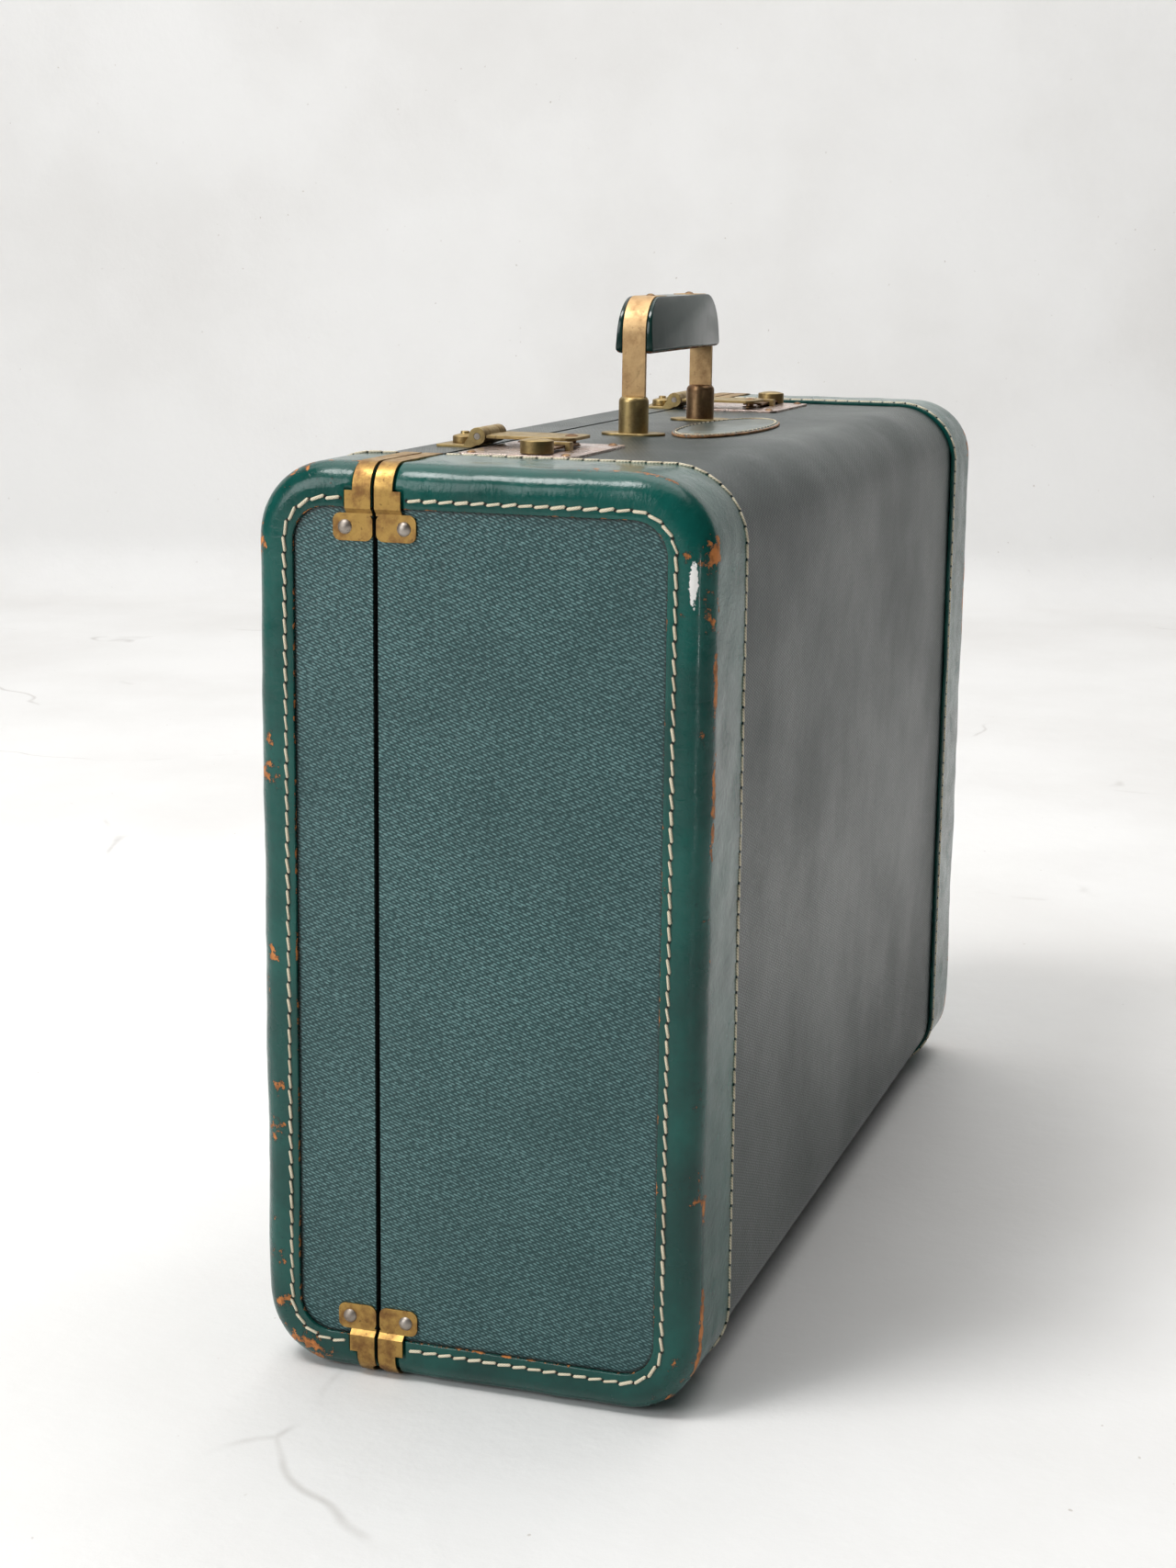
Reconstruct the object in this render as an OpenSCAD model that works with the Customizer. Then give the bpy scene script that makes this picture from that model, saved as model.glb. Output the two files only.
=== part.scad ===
// Vintage suitcase: a board case covered in canvas, with rolled leather bindings at both ends.
// X runs along the case, Y from the big face of the deep base to the face of the lid, Z is up.
// The origin is the middle of the face that the case stands on. Sizes are millimetres.

/* [Case] */
// Length over the leather
case_l = 490; // [420:1:570]
// Thickness over the leather with the lid shut
case_t = 171.5; // [152:0.5:200]
// Height over the leather
case_h = 343; // [300:1:400]
// Depth of the base half
base_d = 123; // [105:0.2:135]
// Gap between the rims of the two halves
split_gap = 2; // [1.8:0.1:2.6]
// Radius of the long edges
edge_r = 29; // [24:0.5:34]

/* [Shell] */
// Thickness of the boards
board_t = 5; // [4:0.5:6]
// Thickness of the canvas
canvas_t = 0.8; // [0.6:0.1:1.2]
// Thickness of the lining
lining_t = 0.8; // [0.6:0.1:1.2]
// Room for glue between two layers
glue = 0.1; // [0.05:0.05:0.2]
// Thickness of the valance inside the base's rim
valance_t = 1.2; // [0.8:0.1:2]
// How far the valance reaches into the lid
valance_reach = 4; // [2:0.5:8]
// How far the valance runs back into the base
valance_grip = 12; // [8:1:20]
// Clearance round the valance
valance_gap = 0.5; // [0.3:0.1:1]

/* [Leather bindings] */
// Thickness of the leather
leather_t = 2; // [1.6:0.1:2.4]
// Radius of the roll over the end edges
roll_r = 10; // [8.5:0.5:12]
// Width of a binding on the end face
bind_end_w = 16.2; // [14:0.2:19]
// Width of a binding on the long faces
bind_long_w = 48.5; // [40:0.5:54]

/* [Binding clips] */
// Thickness of the brass
clip_t = 0.8; // [0.6:0.1:1]
// How far a clip stands out of the end face of the leather
clip_proud = 0.5; // [0.3:0.1:0.8]
// How far a clip lies below the long faces of the leather
clip_flush = 0.1; // [0.05:0.05:0.3]
// How far a clip reaches past the rim
clip_over = 0.3; // [0:0.1:0.5]
// Width of the arm that rolls over the edge
clip_arm_w = 6.6; // [5:0.2:9]
// Width of the step below the roll
clip_step_w = 9.6; // [8:0.2:12]
// Width of the foot on the canvas
clip_foot_w = 14.8; // [13:0.2:18]
// Height of the foot
clip_foot_h = 9.8; // [8:0.2:12]
// Radius of the foot's corners
clip_corner_r = 2.8; // [1.5:0.1:3.5]
// Length of the bend from the leather down to the canvas
clip_bend_l = 1.8; // [1.4:0.1:2.6]
// Distance of the foot's rivet from the rim
clip_rivet_in = 10.2; // [8:0.2:11.5]
// Side play between a clip and its seat in the leather
clip_slack = 0.3; // [0.2:0.1:0.6]

/* [Rivets] */
// Head radius of the clip rivets
rivet_r = 2.7; // [2:0.1:3.2]
// Head height of the clip rivets
rivet_h = 1.5; // [1:0.1:2]
// Shank radius of all rivets
shank_r = 1.1; // [0.8:0.1:1.3]
// Length of a shank below the head's seat
shank_l = 4; // [3:0.5:5]
// Room round a shank
shank_gap = 0.05; // [0.02:0.01:0.1]
// Head radius of the small rivets on the plates
small_rivet_r = 2; // [1.6:0.1:2.4]
// Head height of the small rivets
small_rivet_h = 0.9; // [0.6:0.1:1]

/* [Lock plates] */
// Thickness of the plates on top of the case
plate_t = 1; // [0.8:0.1:1.4]
// Distance of a lock plate from the end of the case
lock_from_end = 64; // [63:1:87]
// Length of a lock plate along the case
lock_l = 65; // [62:1:80]
// Width of a lock plate
lock_w = 46; // [46:1:56]
// Distance of a lock plate from the middle of the split
lock_from_split = 6.4; // [5:0.2:8]
// Corner radius of a lock plate
lock_corner_r = 3; // [2:0.5:5]
// Distance of the plate's rivets from its edges
lock_rivet_in = 4.4; // [4:0.2:6]

/* [Thumb bolt] */
// Distance of the thumb knob from the end of the case
knob_from_end = 72; // [71:0.5:74]
// Radius of the thumb knob
knob_r = 6.25; // [5.5:0.25:7.5]
// Height of the knob above the plate
knob_h = 6; // [5:0.2:8]
// Rise of the knob's domed top
knob_dome = 1; // [0.5:0.1:1.5]
// Radius of the knob's stem
stem_r = 2; // [1.6:0.1:2.4]
// Radius of the washer that holds the stem under the plate
washer_r = 3.8; // [3.2:0.1:4.2]
// Travel of the bolt towards the hasp
bolt_travel = 8; // [7.6:0.1:8.4]
// Width of the bolt
bolt_w = 9; // [8.4:0.2:10]
// Thickness of the bolt
bolt_t = 0.8; // [0.6:0.1:1]
// Running clearance of the bolt
bolt_gap = 0.3; // [0.25:0.05:0.4]
// Clearance of the fork round the neck of the post
fork_gap = 0.7; // [0.5:0.1:0.9]
// Metal behind the stem at the bolt's end
bolt_end = 1.5; // [1:0.1:2]
// Distance of the guide from the end of the case
guide_from_end = 90; // [89.5:0.5:91]
// Length of the guide along the bolt
guide_l = 4; // [3:0.5:5]
// Thickness of the guide's bridge and legs
guide_t = 1; // [0.8:0.1:1.4]

/* [Hasps] */
// Distance of a hasp's middle from the end of the case
hasp_from_end = 112; // [111:0.5:114]
// Width of a hasp
hasp_w = 24; // [20:1:26]
// Reach of a hasp from its pin to its free end
hasp_reach = 39; // [38:0.5:42]
// Distance from the pin to the headed post
post_reach = 34.4; // [33:0.2:35]
// Thickness of a hasp
hasp_t = 1.2; // [1:0.1:1.6]
// Radius of a hasp's free corners
hasp_corner_r = 4; // [2:0.5:6]
// Outer radius of the knuckles
hasp_knuckle_r = 3.4; // [3:0.1:3.8]
// Radius of the hasp pin
hasp_pin_r = 1.25; // [1:0.05:1.5]
// Radial clearance on the hasp and hinge pins
pin_gap = 0.05; // [0.02:0.01:0.08]
// Gap between neighbouring knuckles
knuckle_gap = 0.4; // [0.3:0.05:0.6]
// Length of each outer knuckle
outer_knuckle_l = 6; // [5:0.5:7]
// Neck radius of the headed post
post_r = 1.8; // [1.5:0.1:2]
// Head radius of the post
post_head_r = 3.5; // [3:0.1:4]
// Head thickness of the post
post_head_t = 0.5; // [0.4:0.1:0.6]
// Radius of the post's end, riveted over on top of the hasp
post_cap_r = 2.8; // [2.4:0.1:3.2]
// Depth of the leaf that carries a hasp on the lid
leaf_d = 14.5; // [13:0.5:16]
// Radius of the boss on the leaf
boss_r = 4.8; // [4:0.2:5.4]
// Height of the boss
boss_h = 3.6; // [3:0.2:5]
// Radius of the nub on top of the boss
boss_nub_r = 1.7; // [1.2:0.1:2.2]
// Height of the nub
boss_nub_h = 0.9; // [0.5:0.1:1.4]

/* [Handle] */
// Distance between the two straps
handle_span = 100; // [92:1:112]
// Distance of the handle from the middle of the case towards the lid
handle_y = 4; // [0:0.5:8]
// Width of a strap
strap_w = 10; // [9:0.5:10.5]
// Thickness of a strap
strap_t = 2; // [1.6:0.1:2.2]
// Running clearance of a strap in its post
strap_gap = 0.3; // [0.2:0.05:0.35]
// Length of a strap's tail on top of the grip
strap_tail = 14; // [11:0.5:20]
// Radius of a post
post_tube_r = 6.2; // [6:0.1:7]
// Height of a post above the deck
post_h = 16; // [13:0.5:19]
// Radius of the post's rounded top edge
post_edge_r = 2.4; // [1:0.2:3]
// Length of a flange across the case
flange_l = 27; // [24:0.5:30]
// Width of a flange
flange_w = 15; // [14:0.5:18]
// Drop of the handle
handle_drop = 15.5; // [12:0.5:19]
// Room left under the grip when the handle is down
grip_rest = 1.8; // [0.8:0.1:4]
// Height of the grip
grip_h = 21; // [19:0.5:25]
// Width of the grip at its underside
grip_low_w = 16.5; // [15:0.5:19]
// Width of the grip at its top
grip_top_w = 13; // [12.5:0.5:14.5]
// Radius of the grip's top corners, seen from the side
grip_end_r = 13; // [11:0.5:15]
// Radius of the grip's lower corners
grip_low_r = 3.5; // [2:0.5:5]
// Radius of the grip's top edges, seen from the end
grip_edge_r = 2; // [1:0.2:3]
// Gap between a strap and the grip
grip_seat = 0.15; // [0.1:0.05:0.3]
// Radius of a stop pin
stop_r = 1.5; // [1.2:0.1:1.8]
// Length of a stop pin
stop_l = 16; // [14:1:20]

/* [Oval patch] */
// Half length of the patch
patch_a = 58; // [45:1:58]
// Half width of the patch
patch_b = 18; // [14:0.5:20]
// Thickness of the patch
patch_t = 1.2; // [0.8:0.1:2]
// Distance of the patch from the middle of the case towards the big face
patch_y = 22.5; // [22:0.5:26]

/* [Hinges] */
// Distance of each hinge from the middle of the case
hinge_x = 140; // [80:5:165]
// Length of a hinge
hinge_l = 44; // [36:2:60]
// Depth of a hinge leaf from the pin
hinge_d = 19; // [16:0.5:24]
// Thickness of a hinge leaf
hinge_t = 0.8; // [0.6:0.1:1]
// Outer radius of the hinge knuckles
hinge_knuckle_r = 1.7; // [1.5:0.05:1.75]
// Radius of a hinge pin
hinge_pin_r = 0.8; // [0.6:0.05:0.9]
// Height of the knuckles above the floor
hinge_lift = 0.1; // [0.05:0.05:0.3]
// Number of knuckles of a hinge
hinge_knuckles = 5; // [3:2:7]
// Clearance between the two rims as the lid swings
swing_gap = 0.2; // [0.1:0.05:0.4]
// Opening angle of the lid
lid_open = 95; // [80:1:100]

/* [Hidden] */
$fn = 64;
lid_d = case_t - base_d - split_gap;
rim_y = base_d - case_t / 2;
split_y = rim_y + split_gap / 2;
// How far a cut runs past the face that it opens
past = 1;

// Distances of the layers from the outer faces of the leather
canvas_v = leather_t + glue;
board_v = canvas_v + canvas_t + glue;
lining_v = board_v + board_t + glue;
inside_v = lining_v + lining_t;

// Binding clips: sink of their seat in the leather, bend, foot and rivet
clip_sink = leather_t / 2;
clip_bend_v = bind_end_w + 2 * glue + clip_flush;
clip_foot_v = clip_bend_v + clip_bend_l;
clip_foot_u = canvas_v - glue / 2 - clip_t;
clip_rivet_v = clip_foot_v + clip_foot_h / 2;

// Levels on top of the case: the deck is the canvas, the plates lie on it
deck_z = case_h - canvas_v;
plate_z = deck_z + plate_t;
end_x = -case_l / 2;
lock_y = split_y - lock_from_split - lock_w;
hasp_x = end_x + hasp_from_end;
knob_x = end_x + knob_from_end;
guide_x = end_x + guide_from_end;

// The bolt slides between the head of the post and the underside of the hasp
post_head_z = plate_z + bolt_gap;
bolt_z = post_head_z + post_head_t + bolt_gap;
hasp_low_z = bolt_z + bolt_t + 3 * bolt_gap;
hasp_axis_z = hasp_low_z + hasp_t / 2;
hasp_axis_y = rim_y;
bolt_y = hasp_axis_y - post_reach;
bolt_tail = stem_r + bolt_end;
washer_z = deck_z - bolt_gap - bolt_t;
fork_tip_x = hasp_x - post_head_r - 2 * bolt_gap;
fork_throat_x = hasp_x - post_r - fork_gap - bolt_travel;
middle_knuckle_l = hasp_w - 2 * outer_knuckle_l - 2 * knuckle_gap;
leaf_y = rim_y + split_gap + 2 * glue;
boss_y = leaf_y + leaf_d / 2;

// The two outer knuckles of a hasp, or the middle one, as spans along X from the hasp's middle
outer_spans = [
    [-hasp_w / 2, -hasp_w / 2 + outer_knuckle_l],
    [hasp_w / 2 - outer_knuckle_l, hasp_w / 2]
];
middle_span = [-middle_knuckle_l / 2, middle_knuckle_l / 2];

// Handle levels
grip_z = deck_z + post_h + handle_drop + grip_rest;
grip_top_z = grip_z + grip_h;
strap_x = handle_span / 2;
grip_half_l = strap_x - strap_t / 2 - grip_seat;
strap_top_z = grip_top_z + grip_seat + strap_t;
grip_lip = strap_t;
strap_bend_r = grip_end_r + grip_seat + strap_t;
stop_z = case_h - inside_v - strap_gap - stop_r;
strap_low_z = stop_z - 2 * stop_r;

// Hinge axis, and the round channels that let the lid swing past the base
hinge_z = hinge_knuckle_r + hinge_lift;
base_channel_r = hinge_knuckle_r + knuckle_gap;
lid_channel_r = max(base_channel_r, hinge_z / sin((180 - lid_open) / 2) + swing_gap);
hinge_leaf_z = canvas_v - glue / 2 - hinge_t;
hinge_pitch = hinge_l / hinge_knuckles;
hinge_rivet_pitch = hinge_l / 3;
hinge_rivet_y = hinge_d - 2 * small_rivet_r - past;

board_col = [0.62, 0.47, 0.30];
canvas_col = [0.13, 0.27, 0.26];
leather_col = [0.06, 0.38, 0.31];
lining_col = [0.72, 0.62, 0.46];
brass_col = [0.72, 0.55, 0.24];
steel_col = [0.55, 0.53, 0.50];
plate_col = [0.70, 0.60, 0.52];

// A half is drawn from its big face (y = 0) to its rim (y = d), with its near end at x = 0.
module in_base() {
    translate([end_x, -case_t / 2, 0]) children();
}

module in_lid() {
    translate([end_x, case_t / 2, 0]) mirror([0, 1, 0]) children();
}

// Within a half, moves what is drawn at the near end to the chosen end.
module at_end(far) {
    translate([far ? case_l : 0, 0, 0]) mirror([far ? 1 : 0, 0, 0]) children();
}

// Within a half, moves what is drawn at the bottom to the bottom or the top.
module at_level(top) {
    translate([0, 0, top ? case_h : 0]) mirror([0, 0, top ? 1 : 0]) children();
}

// Moves what is drawn at the near end of the whole case to the chosen end.
module case_end(far) {
    mirror([far ? 1 : 0, 0, 0]) children();
}

// Draws a YZ outline out along X.
module along_x(x0, x1) {
    translate([x0, 0, 0]) rotate([90, 0, 90]) linear_extrude(x1 - x0) children();
}

// Draws an XZ outline out along Y.
module along_y(y0, y1) {
    translate([0, y1, 0]) rotate([90, 0, 0]) linear_extrude(y1 - y0) children();
}

module rounded_rect(w, h, r) {
    translate([r, 0]) square([w - 2 * r, h]);
    translate([0, r]) square([w, h - 2 * r]);
    for (x = [r, w - r], y = [r, h - r]) {
        translate([x, y]) circle(r);
    }
}

// A bar with round ends, its middle at the origin.
module stadium(length, width) {
    square([length - width, width], center = true);
    for (s = [-1, 1]) {
        translate([s * (length - width) / 2, 0]) circle(width / 2);
    }
}

// Radius of a half's long edges: a shallow half keeps its rim straight where the clips lie.
function edge_of(d) = min(edge_r, d - clip_step_w - clip_slack);

// Width of a clip's foot, which lies on the canvas between the rim and the leather.
function foot_of(d) = min(clip_foot_w, d - bind_end_w - clip_slack);

// The outline of a half seen along X, v inside the leather: round at the big face, square at the rim.
module half_outline(d, v, over = 0) {
    r = edge_of(d);
    translate([r, v]) square([d + over - r, case_h - 2 * v]);
    translate([v, r]) square([d + over - v, case_h - 2 * r]);
    for (z = [r, case_h - r]) {
        translate([r, z]) intersection() {
            circle(r - v);
            translate([-2 * r, -r]) square(2 * r);
        }
    }
}

// Runs a section round the three closed sides of a half, just inside its near end.
// The section's x is the distance from the end face, its y the distance from the long faces.
module c_sweep(d) {
    r = edge_of(d);
    translate([0, 0, r]) linear_extrude(case_h - 2 * r) children();
    for (top = [false, true]) {
        at_level(top) {
            along_y(r, d) children();
            translate([0, r, r]) rotate([0, 90, 0]) rotate([0, 0, -90])
                rotate_extrude(angle = 90) translate([r, 0]) rotate(90) children();
        }
    }
}

// The section of a layer that lies between v0 and v1 under the leather's face and rolls over the end edge.
module rolled_layer(v0, v1, end_w, long_w) {
    translate([v0, roll_r]) square([v1 - v0, end_w - roll_r]);
    translate([roll_r, v0]) square([long_w - roll_r, v1 - v0]);
    translate([roll_r, roll_r]) intersection() {
        difference() {
            circle(roll_r - v0);
            circle(roll_r - v1);
        }
        translate([-2 * roll_r, -2 * roll_r]) square(2 * roll_r);
    }
}

// A round head standing on z = 0.
module dome(r, h) {
    ball = (r * r + h * h) / (2 * h);
    rotate_extrude() intersection() {
        translate([0, h - ball]) circle(ball);
        square([r + past, h + past]);
    }
}

// A rivet with its head's seat at the origin and its shank down -Z.
module rivet(r, h, length) {
    dome(r, h);
    translate([0, 0, -length]) cylinder(r = shank_r, h = length);
}

module rivet_bore() {
    translate([0, 0, -shank_l - past]) cylinder(r = shank_r + shank_gap, h = shank_l + 2 * past);
}

// Round channel along the hinge line, cut out of both rims so that the lid can swing.
module clear_of_hinge(channel_r) {
    difference() {
        children();
        translate([end_x - past, split_y, hinge_z]) rotate([0, 90, 0])
            cylinder(r = channel_r, h = case_l + 2 * past);
    }
}

// Shell layers of a half
module wrap_layer(d, v, t, x0) {
    along_x(x0, case_l - x0) difference() {
        half_outline(d, v);
        half_outline(d, v + t, past);
    }
}

module end_layer(d, u, t) {
    difference() {
        along_x(u, u + t) half_outline(d, roll_r);
        clip_rivet_spots(d) rivet_bore();
    }
}

module corner_bead(d) {
    c_sweep(d) difference() {
        intersection() {
            translate([roll_r, roll_r]) circle(roll_r - canvas_v);
            square(roll_r - glue);
        }
        translate([board_v + board_t, board_v + board_t]) square(roll_r);
    }
}

module lining_tray(d) {
    difference() {
        along_x(lining_v, case_l - lining_v) half_outline(d, lining_v);
        along_x(inside_v, case_l - inside_v) half_outline(d, inside_v, past);
    }
}

// Leather binding of one end: rolled over the edge, thinned where the clips lie on it at the rim
module binding(d) {
    difference() {
        c_sweep(d) rolled_layer(0, leather_t, bind_end_w, bind_long_w);
        for (top = [false, true]) {
            at_level(top) {
                along_y(d - clip_arm_w - clip_slack, d + past)
                    rolled_layer(-past, clip_sink, bind_end_w + past, bind_long_w + past);
                along_y(d - clip_step_w - clip_slack, d + past)
                    translate([-past, roll_r]) square([past + clip_sink, bind_end_w]);
            }
        }
    }
}

// Stepped brass clip: an arm over the roll, a step, a bend down to the canvas, and a riveted foot
module clip(d) {
    rim = d + clip_over;
    face_u = -clip_proud;
    difference() {
        union() {
            along_y(d - clip_arm_w, rim) translate([face_u, clip_flush])
                rolled_layer(0, clip_t, clip_bend_v - clip_flush, bind_long_w);
            along_y(d - clip_step_w, rim) polygon([
                [face_u, roll_r + clip_flush],
                [face_u, clip_bend_v],
                [clip_foot_u, clip_foot_v],
                [clip_foot_u, clip_foot_v + clip_t],
                [clip_foot_u + clip_t, clip_foot_v + clip_t],
                [clip_foot_u + clip_t, clip_foot_v],
                [face_u + clip_t, clip_bend_v],
                [face_u + clip_t, roll_r + clip_flush]
            ]);
            along_x(clip_foot_u, clip_foot_u + clip_t) translate([d - foot_of(d), clip_foot_v])
                rounded_rect(foot_of(d) + clip_over, clip_foot_h, clip_corner_r);
        }
        clip_rivet_spot(d) rivet_bore();
    }
}

module clip_rivet_spot(d) {
    translate([clip_foot_u, d - clip_rivet_in, clip_rivet_v]) rotate([0, -90, 0]) children();
}

module clip_rivet_spots(d) {
    for (top = [false, true]) {
        at_level(top) clip_rivet_spot(d) children();
    }
}

module clips(d) {
    for (far = [false, true], top = [false, true]) {
        at_end(far) at_level(top) clip(d);
    }
}

module clip_rivets(d) {
    for (far = [false, true]) {
        at_end(far) clip_rivet_spots(d) rivet(rivet_r, rivet_h, shank_l);
    }
}

// Base half
module base_board() {
    color(board_col) clear_of_hinge(base_channel_r) difference() {
        in_base() wrap_layer(base_d, board_v, board_t, roll_r);
        deck_cuts();
        hinge_rivet_spots(0) rivet_bore();
    }
}

module base_end_board(far) {
    color(board_col) in_base() at_end(far) end_layer(base_d, board_v, board_t);
}

module base_corner_beads() {
    color(board_col) clear_of_hinge(base_channel_r) in_base() {
        corner_bead(base_d);
        at_end(true) corner_bead(base_d);
    }
}

module base_canvas() {
    color(canvas_col) clear_of_hinge(base_channel_r) difference() {
        in_base() wrap_layer(base_d, canvas_v, canvas_t, roll_r);
        deck_cuts();
        hinge_rivet_spots(0) rivet_bore();
    }
}

module base_end_canvas(far) {
    color(canvas_col) in_base() at_end(far) end_layer(base_d, canvas_v, canvas_t);
}

module base_binding(far) {
    color(leather_col) clear_of_hinge(base_channel_r) in_base() at_end(far) binding(base_d);
}

module base_lining() {
    color(lining_col) difference() {
        in_base() lining_tray(base_d);
        strap_spots() strap_slot();
    }
}

// A rectangular frame seen along Y, between v0 and v1 inside the leather
module frame_outline(v0, v1) {
    difference() {
        translate([v0, v0]) square([case_l - 2 * v0, case_h - 2 * v0]);
        translate([v1, v1]) square([case_l - 2 * v1, case_h - 2 * v1]);
    }
}

// Strip inside the base's rim, stepped in where it enters the lid
module base_valance() {
    lip_v = inside_v + valance_gap;
    color(lining_col) in_base() {
        along_y(base_d - valance_grip, base_d) frame_outline(inside_v + glue, lip_v + valance_t);
        along_y(base_d, base_d + split_gap + valance_reach) frame_outline(lip_v, lip_v + valance_t);
    }
}

module base_clips() {
    color(brass_col) clear_of_hinge(base_channel_r) in_base() clips(base_d);
}

module base_clip_rivets() {
    color(steel_col) in_base() clip_rivets(base_d);
}

// Everything that is cut through the top of the base: rivets, the knobs' pockets and the straps' slots
module deck_cuts() {
    for (far = [false, true]) {
        case_end(far) {
            lock_rivet_spots() rivet_bore();
            knob_pocket();
        }
    }
    strap_spots() strap_slot();
}

// Lock plates
module lock_plate(far) {
    color(plate_col) case_end(far) difference() {
        translate([end_x + lock_from_end, lock_y, deck_z]) linear_extrude(plate_t)
            rounded_rect(lock_l, lock_w, lock_corner_r);
        lock_rivet_spots() rivet_bore();
        knob_track(stem_r + bolt_gap, deck_z - past, plate_z + past);
    }
}

module lock_rivet_spots() {
    for (x = [lock_rivet_in, lock_l - lock_rivet_in], y = [lock_rivet_in, lock_w - lock_rivet_in]) {
        translate([end_x + lock_from_end + x, lock_y + y, plate_z]) children();
    }
}

module lock_rivets() {
    color(brass_col) for (far = [false, true]) {
        case_end(far) lock_rivet_spots() rivet(small_rivet_r, small_rivet_h, shank_l);
    }
}

// The room that something of radius r on the knob's axis sweeps as the bolt slides
module knob_track(r, z0, z1) {
    translate([knob_x + bolt_travel / 2, bolt_y, z0]) linear_extrude(z1 - z0)
        stadium(bolt_travel + 2 * r, 2 * r);
}

module knob_pocket() {
    knob_track(washer_r + bolt_gap, washer_z - bolt_gap, deck_z + past);
}

module bolt_guides() {
    half_w = bolt_w / 2 + bolt_gap;
    top_z = bolt_z + bolt_t + bolt_gap;
    color(brass_col) for (far = [false, true]) {
        case_end(far) translate([guide_x, bolt_y, plate_z]) difference() {
            translate([0, -half_w - 2 * guide_t, 0])
                cube([guide_l, 2 * half_w + 4 * guide_t, top_z - plate_z + guide_t]);
            translate([-past, -half_w, -past])
                cube([guide_l + 2 * past, 2 * half_w, top_z - plate_z + past]);
        }
    }
}

// Thumb bolt: a forked blade that slides under the hasp and grips the neck of its post
module bolt(far) {
    slot_w = 2 * (post_r + fork_gap);
    color(brass_col) case_end(far) translate([0, bolt_y, bolt_z]) difference() {
        translate([knob_x - bolt_tail, -bolt_w / 2, 0])
            cube([fork_tip_x - knob_x + bolt_tail, bolt_w, bolt_t]);
        translate([knob_x, 0, -past]) cylinder(r = stem_r + pin_gap, h = bolt_t + 2 * past);
        translate([fork_throat_x, -slot_w / 2, -past])
            cube([fork_tip_x - fork_throat_x + past, slot_w, bolt_t + 2 * past]);
    }
}

module thumb_knob(far) {
    low_z = bolt_gap;
    rim_z = knob_h - knob_dome;
    slot_w = bolt_w + 2 * pin_gap;
    slot_z = bolt_z + bolt_t + pin_gap - plate_z;
    color(brass_col) case_end(far) translate([knob_x, bolt_y, plate_z]) {
        difference() {
            union() {
                translate([0, 0, low_z]) cylinder(r = knob_r, h = rim_z - low_z);
                translate([0, 0, rim_z]) dome(knob_r, knob_dome);
            }
            translate([-bolt_tail - pin_gap, -slot_w / 2, -past])
                cube([2 * knob_r, slot_w, slot_z + past]);
        }
        translate([0, 0, washer_z - plate_z]) {
            cylinder(r = stem_r, h = slot_z + plate_z - washer_z);
            cylinder(r = washer_r, h = bolt_t);
        }
    }
}

// Lid half
module lid_board() {
    color(board_col) clear_of_hinge(lid_channel_r) difference() {
        in_lid() wrap_layer(lid_d, board_v, board_t, roll_r);
        hinge_rivet_spots(1) rivet_bore();
        boss_spots() rivet_bore();
    }
}

module lid_end_board(far) {
    color(board_col) in_lid() at_end(far) end_layer(lid_d, board_v, board_t);
}

module lid_corner_beads() {
    color(board_col) clear_of_hinge(lid_channel_r) in_lid() {
        corner_bead(lid_d);
        at_end(true) corner_bead(lid_d);
    }
}

module lid_canvas() {
    color(canvas_col) clear_of_hinge(lid_channel_r) difference() {
        in_lid() wrap_layer(lid_d, canvas_v, canvas_t, roll_r);
        hinge_rivet_spots(1) rivet_bore();
        boss_spots() rivet_bore();
    }
}

module lid_end_canvas(far) {
    color(canvas_col) in_lid() at_end(far) end_layer(lid_d, canvas_v, canvas_t);
}

module lid_binding(far) {
    color(leather_col) clear_of_hinge(lid_channel_r) in_lid() at_end(far) binding(lid_d);
}

module lid_lining() {
    color(lining_col) in_lid() lining_tray(lid_d);
}

module lid_clips() {
    color(brass_col) clear_of_hinge(lid_channel_r) in_lid() clips(lid_d);
}

module lid_clip_rivets() {
    color(steel_col) in_lid() clip_rivets(lid_d);
}

module hasp_bore() {
    along_x(hasp_x - hasp_w, hasp_x + hasp_w) translate([hasp_axis_y, hasp_axis_z])
        circle(hasp_pin_r + pin_gap);
}

// Leaf riveted to the lid, its ends curled up into the outer knuckles
module hasp_leaf(far) {
    color(brass_col) case_end(far) difference() {
        union() {
            translate([hasp_x - hasp_w / 2, leaf_y, deck_z]) cube([hasp_w, leaf_d, plate_t]);
            for (span = outer_spans) {
                along_x(hasp_x + span[0], hasp_x + span[1]) {
                    translate([hasp_axis_y, hasp_axis_z]) circle(hasp_knuckle_r);
                    polygon([
                        [hasp_axis_y, hasp_axis_z - hasp_knuckle_r],
                        [leaf_y, deck_z],
                        [leaf_y + hasp_knuckle_r, plate_z],
                        [hasp_axis_y + hasp_knuckle_r, hasp_axis_z]
                    ]);
                }
            }
        }
        hasp_bore();
        translate([hasp_x, boss_y, plate_z]) rivet_bore();
    }
}

module boss_spots() {
    for (far = [false, true]) {
        case_end(far) translate([hasp_x, boss_y, plate_z]) children();
    }
}

// Capped boss whose shank holds the leaf to the lid
module hasp_bosses() {
    color(brass_col) boss_spots() {
        cylinder(r = boss_r, h = boss_h - knob_dome);
        translate([0, 0, boss_h - knob_dome]) dome(boss_r, knob_dome);
        translate([0, 0, boss_h - knob_dome]) cylinder(r = boss_nub_r, h = knob_dome + boss_nub_h);
        translate([0, 0, -shank_l]) cylinder(r = shank_r, h = shank_l);
    }
}

module hasp_pins() {
    color(steel_col) for (far = [false, true]) {
        case_end(far) along_x(hasp_x - hasp_w / 2, hasp_x + hasp_w / 2)
            translate([hasp_axis_y, hasp_axis_z]) circle(hasp_pin_r);
    }
}

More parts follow.
